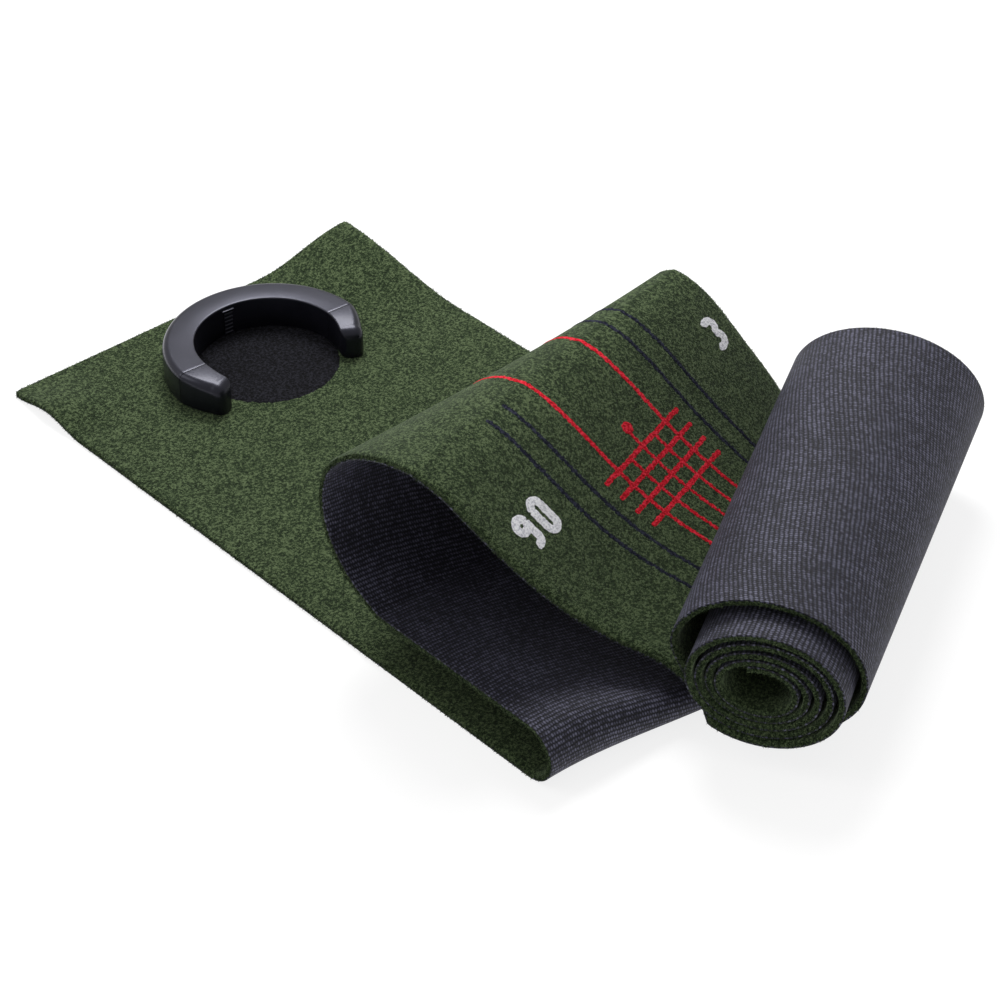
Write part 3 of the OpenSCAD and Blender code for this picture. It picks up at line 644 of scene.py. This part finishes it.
# %% Tuft tree
def tuft_tree():
    tree = bpy.data.node_groups.new("edge tufts", "GeometryNodeTree")
    for name, kind, value in (("Geometry", "NodeSocketGeometry", None), ("Density", "NodeSocketFloat", 1e6),
                              ("Length", "NodeSocketFloat", 0.0012), ("Thickness", "NodeSocketFloat", 0.0002),
                              ("Lean", "NodeSocketFloat", 0.6), ("Seed", "NodeSocketInt", 1),
                              ("Material", "NodeSocketMaterial", None)):
        socket = tree.interface.new_socket(name, in_out="INPUT", socket_type=kind)
        if value is not None:
            socket.default_value = value
    tree.interface.new_socket("Geometry", in_out="OUTPUT", socket_type="NodeSocketGeometry")
    given = tree.nodes.new("NodeGroupInput")
    result = tree.nodes.new("NodeGroupOutput")
    scatter = add(tree, "GeometryNodeDistributePointsOnFaces", {
        "Mesh": given.outputs["Geometry"], "Density": given.outputs["Density"],
        "Seed": given.outputs["Seed"]})
    tuft = add(tree, "GeometryNodeMeshCone", {
        "Vertices": 3, "Radius Top": 0.0, "Radius Bottom": given.outputs["Thickness"],
        "Depth": given.outputs["Length"]}, fill_type="NGON")
    lean = add(tree, "ShaderNodeVectorMath", operation="SCALE")
    tree.links.new(given.outputs["Lean"], lean.inputs["Scale"])
    lean.inputs[0].default_value = (1, 1, 1)
    lean_back = add(tree, "ShaderNodeVectorMath", {0: lean.outputs[0]}, operation="MULTIPLY")
    lean_back.inputs[1].default_value = (-1, -1, -1)
    tilt = add(tree, "FunctionNodeRandomValue", {"Seed": given.outputs["Seed"]}, data_type="FLOAT_VECTOR")
    tree.links.new(lean_back.outputs[0], tilt.inputs["Min"])
    tree.links.new(lean.outputs[0], tilt.inputs["Max"])
    turned = add(tree, "FunctionNodeRotateRotation", {
        "Rotation": scatter.outputs["Rotation"], "Rotate By": tilt.outputs["Value"]}, rotation_space="LOCAL")
    size = add(tree, "FunctionNodeRandomValue", {"Seed": given.outputs["Seed"]}, data_type="FLOAT")
    size.inputs[2].default_value = 0.5
    size.inputs[3].default_value = 1.25
    placed = add(tree, "GeometryNodeInstanceOnPoints", {
        "Points": scatter.outputs["Points"], "Instance": tuft.outputs["Mesh"],
        "Rotation": turned.outputs["Rotation"], "Scale": size.outputs[1]})
    real = add(tree, "GeometryNodeRealizeInstances", {"Geometry": placed.outputs["Instances"]})
    dressed = add(tree, "GeometryNodeSetMaterial", {
        "Geometry": real.outputs["Geometry"], "Material": given.outputs["Material"]})
    tree.links.new(dressed.outputs["Geometry"], result.inputs["Geometry"])
    return tree


edge_tufts = tuft_tree()


def grown(name, source, tree, values):
    """Runs a Geometry Nodes tree on source and returns its result as a plain mesh object."""
    modifier = source.modifiers.new("grow", "NODES")
    modifier.node_group = tree
    sockets = {s.name: s.identifier for s in tree.interface.items_tree if s.in_out == "INPUT"}
    for key, value in values.items():
        modifier[sockets[key]] = value
    bpy.context.view_layer.update()
    seen = source.evaluated_get(bpy.context.evaluated_depsgraph_get())
    mesh = bpy.data.meshes.new_from_object(seen)
    mesh.name = name
    bpy.data.objects.remove(source)
    obj = bpy.data.objects.new(name, mesh)
    bpy.context.scene.collection.objects.link(obj)
    return obj


def edge_strip(bond, tips, across, along, ends=()):
    """The cut faces as an open strip: both long edges, and the first or last row if asked."""
    edges = [(bond[:, 0], tips[:, 0], across[0], along[:, 0], 1),
             (bond[:, -1], tips[:, -1], across[-1], along[:, -1], -1)]
    if "first" in ends:
        edges.append((bond[0], tips[0], across, along[0], -1))
    if "last" in ends:
        edges.append((bond[-1], tips[-1], across, along[-1], 1))
    points, faces, cloth, start = [], [], [], 0
    for low, high, over, way, side in edges:
        n = len(low)
        flat = np.stack(np.broadcast_arrays(over, way), -1)
        points += [low, high]
        cloth += [np.column_stack([flat, np.full(n, BACKING_T)]), np.column_stack([flat, np.full(n, MAT_T)])]
        i = np.arange(n - 1) + start
        quad = np.stack([i, i + 1, i + 1 + n, i + n], -1)
        faces.append(quad if side == 1 else quad[:, ::-1])
        start += 2 * n
    return mesh_piece("strip", np.concatenate(points) * MM, np.concatenate(faces), np.concatenate(cloth) * MM)


TUFTS = {"Density": 2.4e6, "Length": 0.0015, "Thickness": 0.00026, "Lean": 0.8, "Material": green_pile}
free_edge = grown("free_end_edge_tufts", edge_strip(*free_grids[:2], ACROSS, free_grids[2], ("first",)),
                  edge_tufts, {**TUFTS, "Seed": 3})
mat_edge = grown("folded_mat_edge_tufts", edge_strip(*mat_grids[:2], ACROSS, mat_grids[2]),
                 edge_tufts, {**TUFTS, "Seed": 4})
coil_strip = edge_strip(mix(coil_levels[0], coil_levels[1], 0.4), coil_levels[2], coil_across, coil_along,
                        ("last",))
coil_edge = grown("coil_edge_tufts", coil_strip, edge_tufts, {**TUFTS, "Seed": 5})
print("edge tufts, triangles:", [len(o.data.loop_triangles) or len(o.data.polygons)
                                 for o in (free_edge, mat_edge, coil_edge)])

# %% [markdown]
# ## Dyed marks
# The guide lines, the dot and the numerals are dyed into the pile. Here each is a thin shape laid
# on the pile, following it point by point, with a ragged outline. A mark is drawn in the flat
# sheet, in millimetres across from the centreline and along from the crest, and then laid on.

# %% From a flat place to the surface
crest_length = length_at - length_at[CREST_ROW]


def on_sheet(across, along, height):
    """Points on the sheet at flat places given in mm, height counted from the backing side."""
    across, along = np.atleast_1d(across).astype(float), np.atleast_1d(along).astype(float)
    column = np.interp(0.5 + across / MAT_W, SHARES, np.arange(len(SHARES)))
    c0 = np.clip(np.floor(column).astype(int), 0, len(SHARES) - 2)
    cf = column - c0
    row_index = np.arange(len(crest_length))
    row0 = np.array([np.interp(s, crest_length[:, c], row_index) for s, c in zip(along, c0)])
    row1 = np.array([np.interp(s, crest_length[:, c + 1], row_index) for s, c in zip(along, c0)])
    row = mix(row0, row1, cf)
    r0 = np.clip(np.floor(row).astype(int), 0, len(row_index) - 2)
    rf = (row - r0)[:, None]

    def sample(grid):
        a = mix(grid[r0, c0], grid[r0 + 1, c0], rf)
        b = mix(grid[r0, c0 + 1], grid[r0 + 1, c0 + 1], rf)
        return mix(a, b, cf[:, None])

    normal = sample(sheet_normal)
    normal /= np.linalg.norm(normal, axis=1, keepdims=True)
    return sample(sheet_base) + height * normal


# The rows fan out a little towards the far edge, so a line square to the mat is laid aslant
SLANT = -0.083


def along_at(across, along):
    return along + SLANT * across


MARK_TOP, MARK_LOW = MAT_T + 0.28, MAT_T - 0.7


def ribbon(path, width, ragged=0.28, pitch=1.1, seed=1):
    """A ragged band along a path of (across, along) places: its two ragged edges and its middle line."""
    draw = np.random.default_rng(seed)
    path = np.array(path, float)
    reach = np.concatenate([[0], np.cumsum(np.linalg.norm(np.diff(path, axis=0), axis=1))])
    n = max(3, int(reach[-1] / pitch))
    at = np.linspace(0, reach[-1], n + 1)
    line = np.stack([np.interp(at, reach, path[:, i]) for i in (0, 1)], -1)
    way = np.gradient(line, axis=0)
    side = np.stack([-way[:, 1], way[:, 0]], -1) / np.linalg.norm(way, axis=1, keepdims=True)
    half = width / 2 + draw.normal(0, ragged, (2, n + 1))
    half[:, [0, -1]] *= 0.6
    middle_line = line + side * draw.normal(0, ragged * 0.4, (n + 1, 1))
    return [middle_line - side * half[0][:, None], middle_line, middle_line + side * half[1][:, None]]


def lay_bands(name, bands, material):
    """Lays bands, each a list of parallel lines of flat places, on the pile as closed strips."""
    points, faces, cloth, start = [], [], [], 0
    for number, lines in enumerate(bands):
        n, m = len(lines[0]), len(lines)
        lift = 0.02 * (number % 4)
        for height in (MARK_LOW, MARK_TOP + lift):
            for j, line in enumerate(lines):
                crown = 0 if 0 < j < m - 1 or height == MARK_LOW else -0.22
                points.append(on_sheet(line[:, 0], along_at(line[:, 0], line[:, 1]), height + crown))
                cloth.append(np.column_stack([line, np.full(n, height)]))
        index = np.arange(2 * n * m).reshape(2, m, n) + start
        under, top = index
        for a, b, c, d in (
            (top[:-1, :-1], top[:-1, 1:], top[1:, 1:], top[1:, :-1]),
            (under[:-1, :-1], under[1:, :-1], under[1:, 1:], under[:-1, 1:]),
            (under[0, :-1], under[0, 1:], top[0, 1:], top[0, :-1]),
            (under[-1, :-1], top[-1, :-1], top[-1, 1:], under[-1, 1:]),
            (under[:-1, 0], top[:-1, 0], top[1:, 0], under[1:, 0]),
            (under[:-1, -1], under[1:, -1], top[1:, -1], top[:-1, -1]),
        ):
            faces.append(np.stack([x.ravel() for x in (a, b, c, d)], -1)[:, ::-1])
        start += 2 * n * m
    piece = mesh_piece(name, np.concatenate(points) * MM, np.concatenate(faces), np.concatenate(cloth) * MM)
    piece.data.materials.append(material)
    return piece


# %% Lines and dot
GRID_ACROSS, GRID_PITCH = 0.8, 15.9
GRID_ALONG, CROSS_PITCH, CROSS_HALF = 78.0, 14.85, 49
RED_START, RED_END = -70, 196
LONG_RED, SHORT_RED, CROSS_RED, STEM_RED = 3.1, 2.7, 3.8, 2.6      # widths of the red lines


def line_along(x, start, end, width, **finish):
    """A line along the mat, at x from the middle of the grid."""
    return ribbon([(GRID_ACROSS + x, start), (GRID_ACROSS + x, end)], width, **finish)


red_bands = [line_along(side * 2 * GRID_PITCH, RED_START, RED_END, LONG_RED, seed=10 + side)
             for side in (-1, 1)]
red_bands += [line_along(k * GRID_PITCH, GRID_ALONG, RED_END, SHORT_RED, ragged=0.4, seed=20 + k)
              for k in (-1, 0, 1)]
for k in range(4):
    cross_at = GRID_ALONG + k * CROSS_PITCH
    red_bands.append(ribbon([(GRID_ACROSS - CROSS_HALF, cross_at), (GRID_ACROSS + CROSS_HALF, cross_at)],
                            CROSS_RED, ragged=0.3, seed=30 + k))
red_bands.append(line_along(0, GRID_ALONG - 14, GRID_ALONG, STEM_RED, seed=40))
red_lines = lay_bands("red_guide_lines", red_bands, red_pile)

DARK_MID, DARK_APART, DARK_END, DARK_W = 69.5, 19.5, 200, 3.0
dark_bands = []
for side, begin in ((-1, -3), (1, -30)):
    for k in (-0.5, 0.5):
        dark_bands.append(line_along(side * (DARK_MID + k * DARK_APART), begin, DARK_END, DARK_W,
                                     ragged=0.35, seed=50 + len(dark_bands)))
dark_lines = lay_bands("dark_guide_lines", dark_bands, navy_pile)


def blob(centre, radius, seed, ragged=0.25, around=40):
    """A ragged round spot as rings of flat places, from the middle outwards."""
    draw = np.random.default_rng(seed)
    a = np.linspace(0, 2 * np.pi, around + 1)
    edge = radius + draw.normal(0, ragged, around + 1)
    edge[-1] = edge[0]
    rings = [np.full(around + 1, 0.02), edge * 0.5, edge * 0.85, edge]
    return [np.stack([centre[0] + r * np.cos(a), centre[1] + r * np.sin(a)], -1) for r in rings]


red_dot = lay_bands("red_dot_mark", [blob((GRID_ACROSS + 1.5, GRID_ALONG - 16.5), 4.6, 60)], red_pile)


# %% Numerals
def arc(cx, cy, r, a0, a1, steps=24):
    a = np.radians(np.linspace(a0, a1, steps))
    return np.stack([cx + r * np.cos(a), cy - r * np.sin(a)], -1)


def placed(path, across, along, lean):
    """Turns a digit drawn about (0, 0), x to its right and y down, into flat places."""
    path = np.array(path)
    return np.stack([across + path[:, 0], along + path[:, 1] + lean * path[:, 0]], -1)


DIGIT_STROKE = 6.3
zero = np.concatenate([arc(0, -7.4, 4.4, 180, 0), arc(0, 7.4, 4.4, 0, -180), [(-4.4, -7.6)]])
nine_bowl = arc(0, -6.4, 4.6, 0, 360, 40)
nine_stem = np.concatenate([[(4.6, -6.4), (4.6, 2)], arc(0, 5.6, 4.8, 0, -120, 20)])
three_upper = arc(-0.4, -5.6, 5.2, 140, -90, 30)
three_lower = arc(-0.4, 5.6, 5.4, 90, -140, 30)
NINETY_ALONG, THREE_ALONG = 62.5, 60.0
NINE_ACROSS, ZERO_ACROSS, THREE_ACROSS = -123.5, -104.0, 128.0


def digit_band(path, across, along, lean, seed):
    return ribbon(placed(path, across, along, lean), DIGIT_STROKE, ragged=0.18, pitch=0.9, seed=seed)


ninety = lay_bands("numeral_ninety_mark", [
    digit_band(nine_bowl, NINE_ACROSS, NINETY_ALONG, -0.1, 70),
    digit_band(nine_stem, NINE_ACROSS, NINETY_ALONG, -0.1, 71),
    digit_band(zero, ZERO_ACROSS, NINETY_ALONG - 1, -0.1, 72)], white_pile)
three = lay_bands("numeral_three_mark", [
    digit_band(three_upper, THREE_ACROSS, THREE_ALONG, 0.0, 73),
    digit_band(three_lower, THREE_ACROSS, THREE_ALONG, 0.0, 74)], white_pile)
print("marks:", [o.name for o in (red_lines, dark_lines, red_dot, ninety, three)])

# %% [markdown]
# ## The hole spot
# A round dyed spot under the cup marks the hole. It lies on the flat part of the free end, so a
# disc of rings is enough, with its rim broken up like the other marks.

# %% Hole spot
spot_low, spot_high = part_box("hole_spot")
spot_x, spot_y = ((spot_low + spot_high) / 2 / MM)[:2]
spot_r = (spot_high.x - spot_low.x) / 2 / MM


def flat_spot(name, x, y, radius, material, around=220, rings=14):
    draw = np.random.default_rng(80)
    a = np.linspace(0, 2 * np.pi, around, endpoint=False)
    edge = radius + draw.normal(0, 0.35, around)
    points, faces = [], []
    for level in (MARK_TOP - 0.02, MARK_LOW):
        for k in range(1, rings + 1):
            r = edge * k / rings
            z = level - (0.22 if k == rings and level > MARK_LOW else 0)
            points.append(np.stack([x + r * np.cos(a), y + r * np.sin(a), 0 * a + z], -1))
    points = np.concatenate(points + [np.array([[x, y, MARK_TOP - 0.02], [x, y, MARK_LOW]])])
    i, j = np.arange(around), (np.arange(around) + 1) % around
    top, under = 0, rings * around
    for k in range(rings - 1):
        a0, b0 = top + k * around, top + (k + 1) * around
        faces += np.stack([a0 + i, b0 + i, b0 + j, a0 + j], -1).tolist()
        a0, b0 = under + k * around, under + (k + 1) * around
        faces += np.stack([a0 + i, a0 + j, b0 + j, b0 + i], -1).tolist()
    rim, foot = (rings - 1) * around, under + (rings - 1) * around
    faces += np.stack([foot + i, foot + j, rim + j, rim + i], -1).tolist()
    faces += [(2 * rings * around, int(p), int(q)) for p, q in zip(i, j)]
    faces += [(2 * rings * around + 1, under + int(q), under + int(p)) for p, q in zip(i, j)]
    cloth = np.stack([points[:, 1], points[:, 0] - CUT_X, points[:, 2]], -1)
    piece = mesh_piece(name, points * MM, faces, cloth * MM)
    piece.data.materials.append(material)
    return piece


hole_spot = flat_spot("hole_spot_dye", spot_x, spot_y, spot_r, black_pile)
print("hole spot", round(2 * spot_r), "mm across")

# %% [markdown]
# ## The cup
# The cup is a C: a half ring and two arm tips plugged onto its ends. Its wall is a hollow
# moulding, flat on top with a rounded outer edge. Each part is a profile swept round the hole's
# centre, with more rounding on its edges than the solid part has, so that they catch the light.

# %% Cup profile
ring_low, ring_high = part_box("cup_half_ring")
CUP_Z = ring_low.z / MM
CUP_H = (ring_high.z - ring_low.z) / MM
CUP_OUT = ring_high.y / MM
CUP_X = ring_low.x / MM + CUP_OUT
CUP_TURN = 4.0            # degrees clockwise, seen from above
CUP_R, CUP_EDGE, CUP_WALL = 51.5, 5.0, 2.6
CUP_W = CUP_OUT - CUP_R
TIP_ARC, TIP_W, TIP_H, TIP_EDGE = 28.0, 17.0, 22.2, 7.2
print("cup", round(2 * CUP_OUT), "mm across,", round(CUP_H), "mm high")


def corner(cr, cz, r, a0, a1, steps):
    a = np.radians(np.linspace(a0, a1, steps))
    return [(cr + r * math.cos(x), cz + r * math.sin(x)) for x in a]


def wall_outline(w, h, edge, inner=1.1, foot=0.5):
    """Radius and height round the wall: foot, outer side, rounded edge, top, inner edge."""
    return np.array(
        [(foot, 0), (w / 2, 0)] + corner(w - foot, foot, foot, -90, 0, 3)
        + [(w, h * 0.4)] + corner(w - edge, h - edge, edge, 0, 90, 12)
        + [(w * 0.5, h)] + corner(inner, h - inner, inner, 90, 180, 5)
        + [(0, h * 0.4)] + corner(foot, foot, foot, 180, 225, 2)
    )


def swept(name, sections):
    """A skin over a list of sections, each the same number of points, capped at both ends."""
    n = len(sections[0])
    points = np.concatenate(sections)
    faces = []
    for s in range(len(sections) - 1):
        for j in range(n):
            k = (j + 1) % n
            faces.append((s * n + j, (s + 1) * n + j, (s + 1) * n + k, s * n + k))
    faces.append(list(range(n)))
    faces.append([(len(sections) - 1) * n + j for j in reversed(range(n))])
    return mesh_piece(name, points * MM, faces)


def at_angle(outline, angle):
    """Stands a section on the cup's circle; angle 0 is the far end of the ring, 180 the near."""
    r = CUP_R + outline[:, 0]
    a = math.radians(angle - CUP_TURN)
    return np.stack([CUP_X - r * math.sin(a), r * math.cos(a), CUP_Z + outline[:, 1]], -1)


def into_cup_place(piece):
    """Turns a piece built about the cup's own middle and moves it to where the cup stands."""
    turn = Matrix.Rotation(math.radians(-CUP_TURN), 4, "Z")
    piece.data.transform(Matrix.Translation((CUP_X * MM, 0, 0)) @ turn)


# %% Half ring
outline = wall_outline(CUP_W, CUP_H, CUP_EDGE)
SEAM, PINCH = 0.16, 0.08
seam_angle = math.degrees(SEAM / CUP_R)


def pinched(shape, amount):
    """The same section drawn in a little all round, for the softened edge at a seam."""
    centre = np.array([CUP_W / 2, CUP_H / 2])
    way = centre - shape
    return shape + way / np.linalg.norm(way, axis=1, keepdims=True) * amount


ring_angles = np.concatenate([[seam_angle, seam_angle * 2.4], np.linspace(2, 178, 120),
                              [180 - seam_angle * 2.4, 180 - seam_angle]])
ring_sections = [at_angle(outline, a) for a in ring_angles]
ring_sections[0] = at_angle(pinched(outline, PINCH), ring_angles[0])
ring_sections[-1] = at_angle(pinched(outline, PINCH), ring_angles[-1])
half_ring = swept("cup_ring", ring_sections)
cavity_line = np.array([(CUP_WALL, -1), (CUP_W - CUP_WALL, -1), (CUP_W - CUP_WALL, CUP_H - 6),
                        (CUP_W - CUP_WALL - 3, CUP_H - CUP_WALL), (CUP_WALL, CUP_H - CUP_WALL)])
cavity = swept("cavity", [at_angle(cavity_line, a) for a in np.linspace(4, 176, 60)])
cut = half_ring.modifiers.new("hollow", "BOOLEAN")
cut.operation, cut.solver, cut.object = "DIFFERENCE", "EXACT", cavity
bpy.context.view_layer.update()
hollow = bpy.data.meshes.new_from_object(half_ring.evaluated_get(bpy.context.evaluated_depsgraph_get()))
half_ring.modifiers.clear()
half_ring.data = hollow
bpy.data.objects.remove(cavity)
half_ring.data.materials.clear()
half_ring.data.materials.append(black_plastic)
print("cup ring faces:", len(half_ring.data.polygons))


# %% Arm tips
def tip_outline(k):
    """Section of the arm tip at a share k of the way to its nose, before the nose rounds off."""
    return wall_outline(mix(CUP_W, TIP_W, k), mix(CUP_H, TIP_H, k**1.7), mix(CUP_EDGE, TIP_EDGE, k))


NOSE_LEN, NOSE_DROP, NOSE_NARROW = TIP_W * 0.52, 9.0, 0.30
nose_arc = math.degrees(NOSE_LEN / (CUP_R + TIP_W / 2))


def arm_tip(name, side):
    """side is 1 for the far arm and -1 for the near one."""
    def out_to(angle):
        return -angle if side > 0 else 180 + angle

    sections = []
    body = np.concatenate([[seam_angle, seam_angle * 2.4], np.linspace(1.2, TIP_ARC - nose_arc, 22)])
    for number, a in enumerate(body):
        shape = tip_outline(a / (TIP_ARC - nose_arc))
        sections.append(at_angle(pinched(shape, PINCH) if number == 0 else shape, out_to(a)))
    for q in np.radians(np.linspace(8, 90, 12)):
        fall_off = 1 - math.cos(q)
        shape = tip_outline(1).copy()
        middle_r = TIP_W / 2
        shape[:, 0] = middle_r + (shape[:, 0] - middle_r) * mix(1, NOSE_NARROW, fall_off**1.2)
        top = shape[:, 1] / TIP_H
        shape[:, 1] -= NOSE_DROP * fall_off * np.clip(top, 0, 1) ** 0.8
        sections.append(at_angle(shape, out_to(TIP_ARC - nose_arc * (1 - math.sin(q)))))
    if side > 0:
        sections = [s[::-1] for s in sections]
    piece = swept(name, sections)
    piece.data.materials.append(dull_plastic)
    return piece


tip_far = arm_tip("cup_arm_far", 1)
tip_near = arm_tip("cup_arm_near", -1)

# %% [markdown]
# ## The ribbed strip
# In the middle of the cup's back wall a strip of small ribs slows the ball. A row of equal bars
# is a job for Geometry Nodes: a vertical line of points with one rounded bar on each.

# %% Ribbed strip
strip_low, strip_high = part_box("cup_ribbed_strip")
STRIP_RIBS = 6
STRIP_W, STRIP_BAR_H = 7.0, 1.6


def rib_tree():
    tree = bpy.data.node_groups.new("ribs", "GeometryNodeTree")
    for name, kind in (("Geometry", "NodeSocketGeometry"), ("Count", "NodeSocketInt"),
                       ("Start", "NodeSocketVector"), ("Step", "NodeSocketVector"),
                       ("Material", "NodeSocketMaterial")):
        tree.interface.new_socket(name, in_out="INPUT", socket_type=kind)
    tree.interface.new_socket("Geometry", in_out="OUTPUT", socket_type="NodeSocketGeometry")
    given = tree.nodes.new("NodeGroupInput")
    result = tree.nodes.new("NodeGroupOutput")
    line = add(tree, "GeometryNodeMeshLine", {
        "Count": given.outputs["Count"], "Start Location": given.outputs["Start"],
        "Offset": given.outputs["Step"]})
    bars = add(tree, "GeometryNodeInstanceOnPoints", {
        "Points": line.outputs["Mesh"], "Instance": given.outputs["Geometry"]})
    real = add(tree, "GeometryNodeRealizeInstances", {"Geometry": bars.outputs["Instances"]})
    dressed = add(tree, "GeometryNodeSetMaterial", {
        "Geometry": real.outputs["Geometry"], "Material": given.outputs["Material"]})
    tree.links.new(dressed.outputs["Geometry"], result.inputs["Geometry"])
    return tree


def rounded_bar(name, size, centre=(0, 0, 0), radius=0.3, segments=2):
    """A box with rounded edges, sizes in mm."""
    sx, sy, sz = (s / 2 for s in size)
    points = np.array([(x, y, z) for x in (-sx, sx) for y in (-sy, sy) for z in (-sz, sz)]) + np.array(centre)
    faces = [(0, 1, 3, 2), (4, 6, 7, 5), (0, 4, 5, 1), (2, 3, 7, 6), (0, 2, 6, 4), (1, 5, 7, 3)]
    bar = mesh_piece(name, points * MM, faces)
    bevel = bar.modifiers.new("round", "BEVEL")
    bevel.width, bevel.segments = radius * MM, segments
    bpy.context.view_layer.update()
    mesh = bpy.data.meshes.new_from_object(bar.evaluated_get(bpy.context.evaluated_depsgraph_get()))
    bar.modifiers.clear()
    bar.data = mesh
    return bar


strip_h = (strip_high.z - strip_low.z) / MM
wall_x = -CUP_R
rib_step = (strip_h - STRIP_BAR_H) / STRIP_RIBS
rib = rounded_bar("rib", (1.9, STRIP_W, 1.5), radius=0.5, segments=3)
ribs = grown("cup_ribs", rib, rib_tree(), {
    "Count": STRIP_RIBS, "Start": Vector((wall_x + 0.9, 0, strip_low.z / MM + rib_step / 2)) * MM,
    "Step": Vector((0, 0, rib_step)) * MM, "Material": black_plastic})
strip_plate = rounded_bar("cup_strip_plate", (1.5, STRIP_W, strip_h - 0.6),
                          (wall_x + 0.1, 0, strip_low.z / MM + strip_h / 2), radius=0.2)
strip_bar = rounded_bar("cup_strip_bar", (1.9, STRIP_W + 3, STRIP_BAR_H),
                        (wall_x + 1.1, 0, strip_high.z / MM - STRIP_BAR_H / 2), radius=0.55, segments=3)
for piece in (strip_plate, strip_bar):
    piece.data.materials.append(black_plastic)
for piece in (ribs, strip_plate, strip_bar):
    into_cup_place(piece)
print("ribs:", STRIP_RIBS, "step", round(rib_step, 2), "mm")

# %% [markdown]
# ## Riding and replacing
# Each piece except the free end's sheet and tufts moves with its body of the imported part, and the
# pieces stand for the plain solids there, which are hidden. The free end's sheet and tufts stay where
# they are built; the hole spot rides the free end.

# %% Bodies
for piece in (free_backing, free_pile, free_edge):
    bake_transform(piece)
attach(hole_spot, "free_end")
for piece in (mat_backing, mat_pile, mat_edge, red_lines, red_dot, dark_lines, ninety, three):
    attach(piece, "folded_mat")
for piece in (coil_backing, coil_pile, coil_edge):
    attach(piece, "tight_coil")
for piece in (half_ring, tip_far, tip_near, ribs, strip_plate, strip_bar):
    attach(piece, "cup")

# %% What each piece stands for
STANDS_FOR = {
    free_backing: ["free_end_backing"], free_pile: ["free_end_pile"], hole_spot: ["hole_spot"],
    mat_backing: ["base_backing", "fold_backing", "back_panel_backing", "arch_backing",
                  "top_panel_backing", "loose_turn_backing"],
    mat_pile: ["base_pile", "fold_pile", "back_panel_pile", "arch_pile", "top_panel_pile",
               "loose_turn_pile"],
    coil_backing: ["coil_backing"], coil_pile: ["coil_pile"],
    red_lines: ["red_lines"], red_dot: ["red_dot"], dark_lines: ["dark_lines"],
    ninety: ["numeral_ninety"], three: ["numeral_three"],
    half_ring: ["cup_half_ring"], tip_near: ["cup_tip_near"], tip_far: ["cup_tip_far"],
    ribs: ["cup_ribbed_strip"],
}
for piece, nodes in STANDS_FOR.items():
    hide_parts(*nodes)

# %% [markdown]
# ## Floor and light
# A pale floor and a pale surround, one broad soft light high up beyond the free end, and a weaker
# one from the near left.

# %% Stage
floor_mesh = bpy.data.meshes.new("floor")
floor_mesh.from_pydata([(-6, -6, 0), (6, -6, 0), (6, 6, 0), (-6, 6, 0)], [], [(0, 1, 2, 3)])
floor = bpy.data.objects.new("floor", floor_mesh)
floor.location.z = -0.0002
bpy.context.scene.collection.objects.link(floor)
floor_material, _, floor_shader = new_material("floor_pale")
floor_shader.inputs["Base Color"].default_value = (0.3, 0.3, 0.3, 1)
floor_shader.inputs["Emission Color"].default_value = (1, 1, 1, 1)
floor_shader.inputs["Emission Strength"].default_value = 0.8
floor_shader.inputs["Roughness"].default_value = 0.9
floor_shader.inputs["Specular IOR Level"].default_value = 0.1
floor_mesh.materials.append(floor_material)

world = bpy.data.worlds.new("surround")
bpy.context.scene.world = world
world.use_nodes = True
world.node_tree.nodes["Background"].inputs["Color"].default_value = (1, 1, 1, 1)
world.node_tree.nodes["Background"].inputs["Strength"].default_value = 0.45


def soft_light(name, place, aim, size, watts):
    data = bpy.data.lights.new(name, "AREA")
    data.shape, data.size, data.energy = "DISK", size, watts
    light = bpy.data.objects.new(name, data)
    light.location = place
    light.rotation_mode = "QUATERNION"
    light.rotation_quaternion = (Vector(aim) - Vector(place)).to_track_quat("-Z", "Y")
    bpy.context.scene.collection.objects.link(light)


soft_light("key", (-0.9, 0.7, 1.6), (-0.05, 0, 0), 1.1, 34)
soft_light("fill", (-1.1, -1.2, 1.3), (0, 0, 0.03), 1.2, 6)
bpy.context.scene.view_settings.view_transform = "Standard"
